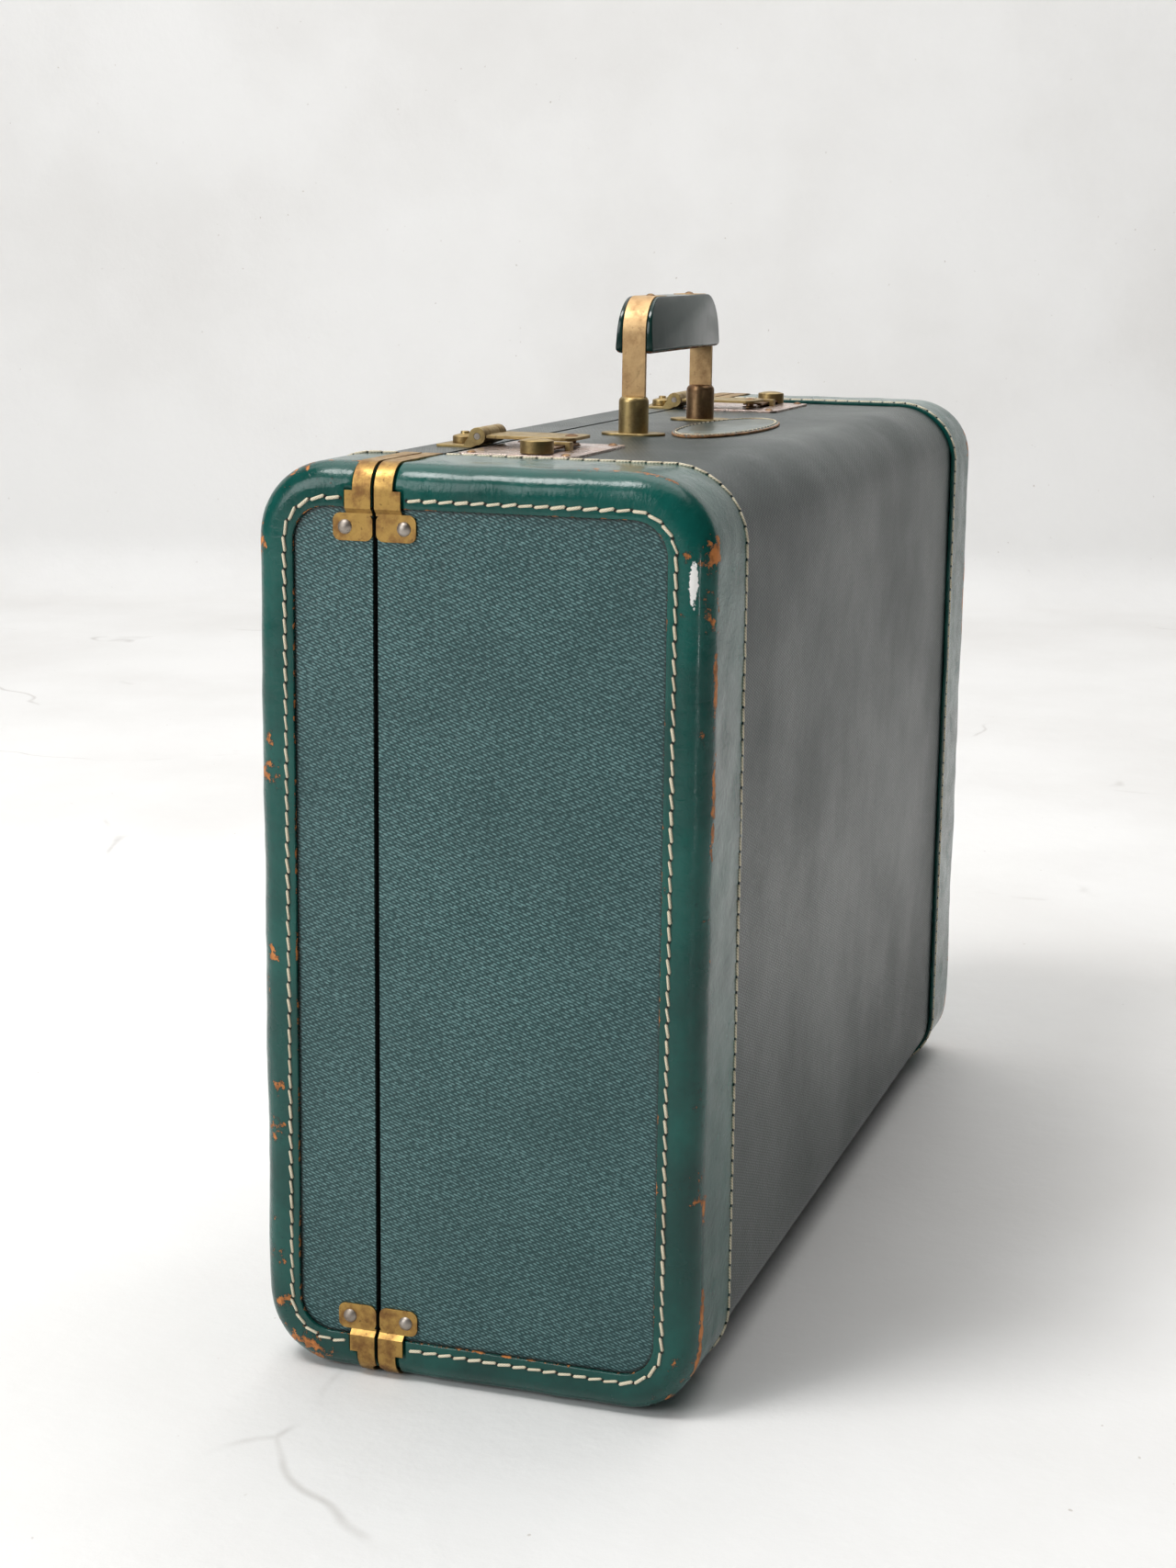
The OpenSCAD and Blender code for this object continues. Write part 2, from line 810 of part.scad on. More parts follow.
// Hasp: a leaf with round free corners, narrowed at the pin to its own middle knuckle
module hasp(far) {
    shoulder = hasp_knuckle_r + knuckle_gap;
    color(brass_col) case_end(far) difference() {
        union() {
            along_x(hasp_x + middle_span[0], hasp_x + middle_span[1])
                translate([hasp_axis_y, hasp_axis_z]) circle(hasp_knuckle_r);
            translate([hasp_x, hasp_axis_y, hasp_low_z]) linear_extrude(hasp_t) {
                translate([-middle_knuckle_l / 2, -shoulder - past])
                    square([middle_knuckle_l, shoulder + past]);
                translate([-hasp_w / 2, -hasp_reach])
                    rounded_rect(hasp_w, hasp_reach - shoulder, hasp_corner_r);
                translate([-hasp_w / 2, -shoulder - hasp_corner_r]) square([hasp_w, hasp_corner_r]);
            }
        }
        hasp_bore();
        translate([hasp_x, bolt_y, hasp_low_z - past])
            cylinder(r = post_r + shank_gap, h = hasp_t + 2 * past);
    }
}

// Headed post under the hasp, its upper end riveted over on top of the leaf
module hasp_post(far) {
    color(steel_col) case_end(far) translate([hasp_x, bolt_y, post_head_z]) {
        cylinder(r = post_head_r, h = post_head_t);
        cylinder(r = post_r, h = hasp_low_z + hasp_t - post_head_z);
        translate([0, 0, hasp_low_z + hasp_t - post_head_z]) dome(post_cap_r, small_rivet_h);
    }
}

// Handle
module strap_spots() {
    for (s = [-1, 1]) {
        translate([s * strap_x, handle_y, 0]) children();
    }
}

module strap_slot() {
    translate([-strap_t / 2 - strap_gap, -strap_w / 2 - strap_gap, strap_low_z - past])
        cube([strap_t + 2 * strap_gap, strap_w + 2 * strap_gap, grip_z - strap_low_z]);
}

module handle_flanges() {
    color(brass_col) difference() {
        strap_spots() translate([0, 0, deck_z]) linear_extrude(plate_t) rotate(90)
            stadium(flange_l, flange_w);
        strap_spots() strap_slot();
    }
}

// Half section of a post, from its axis out
module post_profile() {
    h = post_h - plate_t;
    square([post_tube_r - post_edge_r, h]);
    square([post_tube_r, h - post_edge_r]);
    translate([post_tube_r - post_edge_r, h - post_edge_r]) intersection() {
        circle(post_edge_r);
        square(post_edge_r);
    }
}

module handle_post(s) {
    color(brass_col) translate([s * strap_x, handle_y, 0]) difference() {
        translate([0, 0, plate_z]) rotate_extrude() post_profile();
        strap_slot();
    }
}

// Brass strap: up through the post, round the end of the grip and along its top
module strap(s) {
    bend_x = -grip_half_l + grip_end_r;
    bend_z = grip_top_z - grip_end_r;
    outer_x = -strap_x - strap_t / 2;
    color(brass_col) case_end(s > 0) difference() {
        along_y(handle_y - strap_w / 2, handle_y + strap_w / 2) {
            translate([outer_x, strap_low_z]) square([strap_t, bend_z - strap_low_z]);
            translate([bend_x, strap_top_z - strap_t]) square([strap_tail, strap_t]);
            translate([bend_x, bend_z]) intersection() {
                difference() {
                    circle(strap_bend_r);
                    circle(strap_bend_r - strap_t);
                }
                translate([-2 * strap_bend_r, 0]) square(2 * strap_bend_r);
            }
        }
        strap_rivet_spot() rivet_bore();
        translate([-strap_x, handle_y, stop_z]) rotate([0, 90, 0])
            cylinder(r = stop_r + shank_gap, h = strap_t + 2 * past, center = true);
    }
}

module strap_rivet_spot() {
    translate([-grip_half_l + grip_end_r + strap_tail / 2, handle_y, strap_top_z]) children();
}

module strap_rivets() {
    color(brass_col) for (far = [false, true]) {
        case_end(far) strap_rivet_spot() rivet(small_rivet_r, small_rivet_h, shank_l);
    }
}

module stop_pins() {
    color(steel_col) strap_spots() translate([0, 0, stop_z]) rotate([0, 90, 0])
        cylinder(r = stop_r, h = stop_l, center = true);
}

// Grip: round top corners seen from the side, wider at the underside seen from the end
// Its leather stands up on both sides of a strap, so that the strap lies in a channel
module grip_side(lip) {
    half_l = grip_half_l + lip;
    top_z = grip_top_z + lip;
    end_r = grip_end_r + lip;
    translate([-half_l, grip_z + grip_low_r]) square([2 * half_l, top_z - end_r - grip_z - grip_low_r]);
    translate([-half_l + end_r, grip_z + grip_low_r])
        square([2 * (half_l - end_r), top_z - grip_z - grip_low_r]);
    translate([-half_l + grip_low_r, grip_z]) square([2 * (half_l - grip_low_r), grip_h / 2]);
    for (s = [-1, 1]) {
        translate([s * (half_l - end_r), top_z - end_r]) circle(end_r);
        translate([s * (half_l - grip_low_r), grip_z + grip_low_r]) circle(grip_low_r);
    }
}

module grip_section() {
    low_y = grip_low_w / 2 - grip_low_r;
    top_y = grip_top_w / 2 - grip_edge_r;
    hull() {
        for (s = [-1, 1]) {
            translate([s * low_y, grip_z + grip_low_r]) circle(grip_low_r);
            translate([s * top_y, grip_top_z + grip_lip - grip_edge_r]) circle(grip_edge_r);
        }
    }
}

module strap_channels() {
    half_w = strap_w / 2 + grip_seat;
    outer_x = grip_half_l + 2 * grip_lip;
    inner_x = grip_half_l - grip_end_r - strap_tail - grip_seat;
    along_y(handle_y - half_w, handle_y + half_w) difference() {
        translate([-outer_x, grip_z - past]) square([2 * outer_x, grip_h + 2 * grip_lip]);
        translate([-inner_x, grip_z - 2 * past]) square([2 * inner_x, grip_h + 3 * grip_lip]);
        grip_side(0);
    }
}

module grip() {
    reach = grip_half_l + grip_lip + past;
    color(leather_col) difference() {
        intersection() {
            along_y(handle_y - grip_low_w, handle_y + grip_low_w) grip_side(grip_lip);
            translate([0, handle_y, 0]) along_x(-reach, reach) grip_section();
        }
        strap_channels();
        for (far = [false, true]) {
            case_end(far) strap_rivet_spot() rivet_bore();
        }
    }
}

// Oval leather patch on the deck, left bare
module oval_patch() {
    steps = 72;
    outline = [for (i = [0 : steps - 1]) [patch_a * cos(360 * i / steps), patch_b * sin(360 * i / steps)]];
    color(leather_col) translate([0, -patch_y, deck_z]) linear_extrude(patch_t) polygon(outline);
}

// Hinges under the split: leaf side is -1 on the base and 1 on the lid
module hinge_leaf(side, first) {
    shoulder = hinge_knuckle_r + knuckle_gap;
    difference() {
        union() {
            translate([-hinge_l / 2, side > 0 ? shoulder : -hinge_d, hinge_leaf_z])
                cube([hinge_l, hinge_d - shoulder, hinge_t]);
            for (i = [first : 2 : hinge_knuckles - 1]) {
                x0 = -hinge_l / 2 + i * hinge_pitch + knuckle_gap / 2;
                along_x(x0, x0 + hinge_pitch - knuckle_gap) {
                    translate([0, hinge_z]) circle(hinge_knuckle_r);
                    translate([side > 0 ? 0 : -shoulder - past, hinge_leaf_z])
                        square([shoulder + past, hinge_t]);
                }
            }
        }
        along_x(-hinge_l, hinge_l) translate([0, hinge_z]) circle(hinge_pin_r + pin_gap);
    }
}

module hinge_spots() {
    for (s = [-1, 1]) {
        translate([s * hinge_x, split_y, 0]) children();
    }
}

module hinge_rivet_spots(lid) {
    y = (lid ? 1 : -1) * hinge_rivet_y;
    hinge_spots() for (i = [-1, 0, 1]) {
        translate([i * hinge_rivet_pitch, y, hinge_leaf_z]) mirror([0, 0, 1]) children();
    }
}

module hinge_leaves_base() {
    color(brass_col) difference() {
        hinge_spots() hinge_leaf(-1, 0);
        hinge_rivet_spots(0) rivet_bore();
    }
}

module hinge_leaves_lid() {
    color(brass_col) difference() {
        hinge_spots() hinge_leaf(1, 1);
        hinge_rivet_spots(1) rivet_bore();
    }
}

module hinge_pins() {
    color(steel_col) hinge_spots() along_x(-hinge_l / 2, hinge_l / 2) translate([0, hinge_z])
        circle(hinge_pin_r);
}

module hinge_rivets(lid) {
    color(brass_col) hinge_rivet_spots(lid) rivet(small_rivet_r, small_rivet_h, shank_l);
}

base_board();
base_end_board(false);  // base_end_board_near
base_end_board(true);  // base_end_board_far
base_corner_beads();
base_canvas();
base_end_canvas(false);  // base_end_canvas_near
base_end_canvas(true);  // base_end_canvas_far
base_binding(false);  // base_binding_near
base_binding(true);  // base_binding_far
base_lining();
base_valance();
base_clips();
base_clip_rivets();
lock_plate(false);  // lock_plate_near
lock_plate(true);  // lock_plate_far
lock_rivets();
bolt_guides();
handle_flanges();
handle_post(-1);  // handle_post_near
handle_post(1);  // handle_post_far
oval_patch();
hinge_leaves_base();
hinge_pins();
hinge_rivets(0);  // hinge_rivets_base
lid_board();
lid_end_board(false);  // lid_end_board_near
lid_end_board(true);  // lid_end_board_far
lid_corner_beads();
lid_canvas();
lid_end_canvas(false);  // lid_end_canvas_near
lid_end_canvas(true);  // lid_end_canvas_far
lid_binding(false);  // lid_binding_near
lid_binding(true);  // lid_binding_far
lid_lining();
lid_clips();
lid_clip_rivets();
hasp_leaf(false);  // hasp_leaf_near
hasp_leaf(true);  // hasp_leaf_far
hasp_bosses();
hasp_pins();
hinge_leaves_lid();
hinge_rivets(1);  // hinge_rivets_lid
hasp(false);  // hasp_near
hasp_post(false);  // hasp_post_near
hasp(true);  // hasp_far
hasp_post(true);  // hasp_post_far
bolt(false);  // bolt_near
thumb_knob(false);  // thumb_knob_near
bolt(true);  // bolt_far
thumb_knob(true);  // thumb_knob_far
grip();
strap(-1);  // strap_near
strap(1);  // strap_far
strap_rivets();
stop_pins();
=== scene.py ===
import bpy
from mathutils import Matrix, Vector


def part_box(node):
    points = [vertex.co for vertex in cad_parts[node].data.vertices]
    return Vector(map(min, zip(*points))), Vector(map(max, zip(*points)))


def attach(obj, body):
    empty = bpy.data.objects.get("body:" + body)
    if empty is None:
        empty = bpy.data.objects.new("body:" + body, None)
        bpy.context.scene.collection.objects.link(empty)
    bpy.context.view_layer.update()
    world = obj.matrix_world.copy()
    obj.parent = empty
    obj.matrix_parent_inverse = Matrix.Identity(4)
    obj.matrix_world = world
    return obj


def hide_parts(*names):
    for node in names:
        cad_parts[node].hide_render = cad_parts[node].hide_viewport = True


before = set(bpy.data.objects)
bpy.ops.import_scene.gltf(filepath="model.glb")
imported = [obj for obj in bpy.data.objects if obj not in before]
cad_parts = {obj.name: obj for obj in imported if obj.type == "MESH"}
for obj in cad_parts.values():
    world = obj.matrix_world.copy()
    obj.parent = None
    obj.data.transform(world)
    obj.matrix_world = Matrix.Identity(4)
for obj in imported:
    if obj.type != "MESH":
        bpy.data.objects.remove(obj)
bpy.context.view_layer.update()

import math
import random

import bmesh
import bpy
from mathutils import Matrix, Vector, noise


# Viewpoint: the near end of the case seen from a little to the right, from about knee height.
# A plain camera with a short telephoto lens and no blur, stood where the photograph was taken.
eye = (-1.0889, -0.3205, 0.4193)
forward = Vector((0.92984, 0.30644, -0.2037)).normalized()
right = Vector((0.31537, -0.94889, 0.0121))
right = (right - forward * right.dot(forward)).normalized()
lens_mm = 59.905
bpy.ops.object.camera_add(location=eye)
camera = bpy.context.object
camera.name = "viewpoint"
camera.rotation_euler = Matrix((right, right.cross(forward), -forward)).transposed().to_euler()
camera.data.lens = lens_mm
bpy.context.scene.camera = camera
bpy.context.scene.view_settings.view_transform = "Standard"


# Studio: a painted concrete floor that turns up into a plastered wall two metres behind the case.
# One sheet, folded and rounded along the foot of the wall; the paint is mottled, specked and cracked.
def edit(piece=None):
    """Opens a piece for editing with nothing selected, or closes the open one."""
    if piece is None:
        bpy.ops.object.mode_set(mode="OBJECT")
        return
    bpy.ops.object.select_all(action="DESELECT")
    piece.select_set(True)
    bpy.context.view_layer.objects.active = piece
    bpy.ops.object.mode_set(mode="EDIT")
    bpy.ops.mesh.select_all(action="DESELECT")


def pick(piece, kind, test):
    """Selects the vertices, edges or faces whose middle and normal pass the test."""
    bpy.ops.mesh.select_mode(type=kind)
    bpy.ops.mesh.select_all(action="DESELECT")
    cage = bmesh.from_edit_mesh(piece.data)
    cage.normal_update()
    for part in {"VERT": cage.verts, "EDGE": cage.edges, "FACE": cage.faces}[kind]:
        corners = [part] if kind == "VERT" else part.verts
        middle = sum((corner.co for corner in corners), Vector()) / len(corners)
        facing = part.normal if kind != "EDGE" else (part.verts[1].co - part.verts[0].co).normalized()
        part.select_set(bool(test(middle, facing)))
    cage.select_flush_mode()
    bmesh.update_edit_mesh(piece.data)


def new_material(name):
    """An empty material with its shader, and the tree that holds them."""
    material = bpy.data.materials.new(name)
    material.use_nodes = True
    tree = material.node_tree
    return material, tree, tree.nodes["Principled BSDF"]


def put(tree, kind, settings=None, **inputs):
    """Adds a node; inputs are constants or outputs of other nodes, named or numbered as in_0, in_1."""
    node = tree.nodes.new("ShaderNode" + kind)
    for key, value in (settings or {}).items():
        setattr(node, key, value)
    for key, value in inputs.items():
        socket = node.inputs[int(key[3:])] if key.startswith("in_") else node.inputs[key.replace("_", " ")]
        feed(tree, socket, value)
    return node


def feed(tree, socket, value):
    """Sets a socket to a constant, or links it to another node's output."""
    if isinstance(value, bpy.types.NodeSocket):
        tree.links.new(value, socket)
    elif isinstance(value, tuple) and len(value) == 3 and socket.type == "RGBA":
        socket.default_value = (*value, 1)
    else:
        socket.default_value = value


def math_of(tree, operation, first, second=0.5, third=0.5, clamp=False):
    """One step of arithmetic."""
    settings = {"operation": operation, "use_clamp": clamp}
    return put(tree, "Math", settings, in_0=first, in_1=second, in_2=third).outputs[0]


def step_of(tree, value, low, high, to_low=0.0, to_high=1.0):
    """A smooth step from one value to another as the input goes from low to high."""
    settings = {"interpolation_type": "SMOOTHSTEP"}
    return put(tree, "MapRange", settings, in_0=value, in_1=low, in_2=high,
               in_3=to_low, in_4=to_high).outputs[0]


def blend_of(tree, amount, first, second):
    """A colour between two others."""
    return put(tree, "Mix", {"data_type": "RGBA"}, in_0=amount, in_6=first, in_7=second).outputs[2]


def noise_of(tree, scale, detail=4.0, roughness=0.55, place=None, stretch=None, distortion=0.0):
    """A cloud pattern over the piece, in metres of the piece itself."""
    place = place or put(tree, "TexCoord").outputs["Object"]
    if stretch:
        place = put(tree, "VectorMath", {"operation": "MULTIPLY"}, in_0=place, in_1=stretch).outputs[0]
    return put(tree, "TexNoise", Vector=place, Scale=scale, Detail=detail, Roughness=roughness,
               Distortion=distortion).outputs[0]


def bump_of(tree, shader, height, depth, under=None):
    """Raises the surface by height times depth in metres, over an earlier relief if there is one."""
    relief = put(tree, "Bump", Strength=1.0, Distance=depth, Height=height)
    if under:
        tree.links.new(under, relief.inputs["Normal"])
    tree.links.new(relief.outputs[0], shader.inputs["Normal"])
    return relief.outputs[0]


floor_wide = 8.0
floor_front = -4.0
wall_back = 1.99
wall_high = 4.0
cove = 0.07
bpy.ops.mesh.primitive_plane_add(size=1)
studio = bpy.context.object
studio.name = "studio_floor_and_wall"
edit(studio)
bpy.ops.mesh.select_all(action="SELECT")
bpy.ops.transform.resize(value=(wall_back - floor_front, floor_wide, 1))
bpy.ops.transform.translate(value=((wall_back + floor_front) / 2, 0, 0))
pick(studio, "EDGE", lambda middle, along: middle.x > wall_back - 0.01)
bpy.ops.mesh.extrude_region_move(TRANSFORM_OT_translate={"value": (0, 0, wall_high)})
pick(studio, "EDGE", lambda middle, along: middle.x > wall_back - 0.01 and middle.z < 0.01)
bpy.ops.mesh.bevel(offset=cove, segments=10, affect="EDGES")
edit()
studio.data.transform(Matrix.Rotation(math.atan2(forward.y, forward.x), 4, "Z"))
bpy.ops.object.shade_smooth()

paint, tree, shader = new_material("floor_paint")
mottle = step_of(tree, noise_of(tree, 3.0, 6), 0.35, 0.7)
colour = blend_of(tree, mottle, (0.87, 0.865, 0.855), (0.80, 0.79, 0.775))
spot = put(tree, "TexCoord").outputs["Object"]
ripple = put(tree, "TexNoise", Scale=9.0, Detail=5.0).outputs["Color"]
wandering = put(tree, "VectorMath", {"operation": "ADD"}, in_0=spot, in_1=ripple).outputs[0]
cracks = put(tree, "TexVoronoi", {"feature": "DISTANCE_TO_EDGE"}, Scale=1.7, Vector=wandering).outputs[0]
broken = step_of(tree, noise_of(tree, 7.0, 4), 0.55, 0.66)
height = put(tree, "SeparateXYZ", in_0=spot).outputs[2]
broken = math_of(tree, "MULTIPLY", broken, step_of(tree, height, 0.0, 0.01, 1, 0))
crack = math_of(tree, "MULTIPLY", step_of(tree, cracks, 0.0, 0.006, 1, 0), broken)
colour = blend_of(tree, math_of(tree, "MULTIPLY", crack, 0.35), colour, (0.35, 0.32, 0.29))
specks = step_of(tree, noise_of(tree, 190.0, 1), 0.79, 0.83)
colour = blend_of(tree, math_of(tree, "MULTIPLY", specks, 0.5), colour, (0.42, 0.37, 0.32))
feed(tree, shader.inputs["Base Color"], colour)
feed(tree, shader.inputs["Roughness"], 0.62)
bump_of(tree, shader, noise_of(tree, 60.0, 5), 0.0006)
studio.data.materials.append(paint)


def softbox(name, place, aim, size, watts, colour=(1, 1, 1)):
    """A square lamp of the given side, turned to face a point."""
    bpy.ops.object.light_add(type="AREA", location=place)
    lamp = bpy.context.object
    lamp.name = name
    lamp.rotation_euler = (Vector(aim) - Vector(place)).to_track_quat("-Z", "Y").to_euler()
    lamp.data.size = size
    lamp.data.energy = watts
    lamp.data.color = colour


softbox("ceiling_softbox", place=(0.4, 0.2, 3.0), aim=(0.1, 0, 0), size=3.4, watts=60,
        colour=(1.0, 0.99, 0.975))
softbox("key_softbox", place=(-1.0, 0.8, 2.4), aim=(-0.2, 0, 0.3), size=0.7, watts=30,
        colour=(1.0, 0.99, 0.98))
softbox("left_window", place=(-2.2, 1.5, 1.25), aim=(-0.2, 0, 0.2), size=1.5, watts=36,
        colour=(0.97, 0.99, 1.0))
softbox("wall_wash", place=(0.9, -0.3, 2.9), aim=(2.3, 0.2, 0.9), size=2.0, watts=16)
softbox("side_card", place=(-1.6, -1.5, 0.06), aim=(-0.24, -0.08, 0.3), size=0.12, watts=1.0)
world = bpy.data.worlds.new("studio_air")
world.use_nodes = True
air = world.node_tree.nodes["Background"]
air.inputs["Color"].default_value = (0.93, 0.96, 1.0, 1)
air.inputs["Strength"].default_value = 0.05
bpy.context.scene.world = world


# Boards: the box itself, pressed brown fibreboard bent round the long edges, with end boards glued in.
# They show only as edges along the split, painted near black at the rim as shade in the gap, with the
# pressed layers behind it.
def dress(material, *names):
    """Gives a CAD node its finish."""
    for name in names:
        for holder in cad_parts[name].material_slots:
            holder.material = material


fibreboard, tree, shader = new_material("pressed_fibreboard")
layers = noise_of(tree, 900.0, 3, stretch=(0.15, 1, 0.15))
fibres = noise_of(tree, 260.0, 6, 0.7)
colour = blend_of(tree, step_of(tree, layers, 0.3, 0.7), (0.17, 0.10, 0.055), (0.29, 0.19, 0.11))
colour = blend_of(tree, step_of(tree, fibres, 0.5, 0.75), colour, (0.38, 0.27, 0.17))
depth = put(tree, "SeparateXYZ", in_0=put(tree, "TexCoord").outputs["Object"]).outputs[1]
rim_gap = (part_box("base_board")[1][1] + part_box("lid_board")[0][1]) / 2
gap_shade_wide, feathered = 0.003, 0.0045
from_gap = math_of(tree, "ABSOLUTE", math_of(tree, "SUBTRACT", depth, rim_gap))
gap_shade_reach = math_of(tree, "ADD", from_gap, math_of(tree, "MULTIPLY", fibres, 0.002))
# Painted shade: the board edge is near black within a few millimetres of the split.
colour = blend_of(tree, step_of(tree, gap_shade_reach, gap_shade_wide, feathered), (0.006, 0.007, 0.006), colour)
feed(tree, shader.inputs["Base Color"], colour)
feed(tree, shader.inputs["Roughness"], 0.82)
bump_of(tree, shader, fibres, 0.0004)
dress(fibreboard, "base_board", "base_end_board_near", "base_end_board_far", "base_corner_beads",
      "lid_board", "lid_end_board_near", "lid_end_board_far", "lid_corner_beads")


# Canvas: coated green twill glued over the boards, one strip round the three long sides of each half
# and a flat panel on each end. Every strip is cut square and turned under the leather.
def finish_piece(piece, name, body, node):
    """Names a finished piece, hangs it on its body and lets it stand for its CAD node."""
    piece.name = name
    piece.data.name = name
    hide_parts(node)
    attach(piece, body)


def apply(piece, kind, **settings):
    """Adds a modifier to a piece and applies it."""
    bpy.ops.object.select_all(action="DESELECT")
    piece.select_set(True)
    bpy.context.view_layer.objects.active = piece
    modifier = piece.modifiers.new(kind.lower(), kind)
    for key, value in settings.items():
        setattr(modifier, key, value)
    bpy.ops.object.modifier_apply(modifier=modifier.name)


def map_points(piece, layer, place):
    """Lays a map over a piece: each corner's place on it comes from the point's own place."""
    coordinates = piece.data.uv_layers.new(name=layer)
    for corner in piece.data.loops:
        coordinates.data[corner.index].uv = place(piece.data.vertices[corner.vertex_index].co)


def twill_looks(name, ground, dash, faded):
    """Coated twill: bright floats in diagonal rows on a dark ground, soiled, and painted near black beside
    the leather as the shade of its edge.
    """
    material, tree, shader = new_material(name)
    cloth = put(tree, "UVMap", {"uv_map": "cloth"}).outputs[0]
    grime_and_edge_shade = put(tree, "Attribute", {"attribute_name": "grime_and_edge_shade"}).outputs["Fac"]
    warp = math_of(tree, "MULTIPLY", math_of(tree, "SUBTRACT", noise_of(tree, 55.0, 3), 0.5), 3.4)
    weave = 0.5
    rows_per_metre = ((356, 927, 0.30), (218, -542, 0.15), (574, 385, 0.10))
    for across, along, weight in rows_per_metre:
        turns = put(tree, "VectorMath", {"operation": "DOT_PRODUCT"}, in_0=cloth,
                    in_1=(across * math.tau, along * math.tau, 0)).outputs["Value"]
        wave = math_of(tree, "COSINE", math_of(tree, "ADD", turns, warp))
        weave = math_of(tree, "MULTIPLY_ADD", wave, weight, weave)
    yarn = noise_of(tree, 560.0, 3, 0.6, place=cloth)
    patchy = noise_of(tree, 38.0, 4, 0.6)
    lift = math_of(tree, "MULTIPLY_ADD", math_of(tree, "SUBTRACT", yarn, 0.5), 1.6, weave)
    lift = math_of(tree, "MULTIPLY_ADD", math_of(tree, "SUBTRACT", patchy, 0.5), 0.35, lift)
    soil = noise_of(tree, 9.0, 6, 0.6)
    scuff = step_of(tree, noise_of(tree, 26.0, 6, 0.65, stretch=(1.0, 1.0, 0.35)), 0.60, 0.78)
    colour = blend_of(tree, step_of(tree, lift, 0.38, 1.05), ground, dash)
    dull = tuple(part * 0.8 for part in ground)
    colour = blend_of(tree, step_of(tree, soil, 0.35, 0.75, 0, faded), colour, dull)
    colour = blend_of(tree, math_of(tree, "MULTIPLY", scuff, 0.5), colour, (0.010, 0.015, 0.014))
    nick = step_of(tree, noise_of(tree, 75.0, 2), 0.79, 0.82)
    colour = blend_of(tree, math_of(tree, "MULTIPLY", nick, 0.4), colour, (0.30, 0.36, 0.33))
    # Where the map is high the cloth is painted near black: painted shade under and beside the leather edge.
    colour = blend_of(tree, grime_and_edge_shade, colour, (0.004, 0.005, 0.004))
    feed(tree, shader.inputs["Base Color"], colour)
    feed(tree, shader.inputs["Roughness"], step_of(tree, soil, 0.3, 0.75, 0.30, 0.46))
    dents = bump_of(tree, shader, noise_of(tree, 16.0, 3), 0.0008)
    bump_of(tree, shader, lift, 0.00014, dents)
    return material


twill = twill_looks("green_twill", (0.003, 0.040, 0.041), (0.135, 0.268, 0.268), 0.3)
# The strips on the deck and long sides get a darker, duller copy of the same twill: painted shade.
shade_darkened_twill = twill_looks("shade_darkened_twill", (0.012, 0.024, 0.022), (0.050, 0.075, 0.070), 0.5)


def outline_place(depth, height, deep, high, bend):
    """How far a point lies inside the outline of a half, and how far along it from the bottom rim."""
    leg, corner, tall = deep - bend, bend * math.pi / 2, high - 2 * bend
    if depth >= bend:
        if height < high / 2:
            return height, deep - depth
        return high - height, leg + 2 * corner + tall + depth - bend
    if height < bend:
        across, up = bend - depth, bend - height
        return bend - math.hypot(across, up), leg + bend * math.atan2(across, up)
    if height > high - bend:
        across, up = bend - depth, height - high + bend
        return bend - math.hypot(across, up), leg + corner + tall + bend * math.atan2(up, across)
    return depth, leg + corner + height - bend


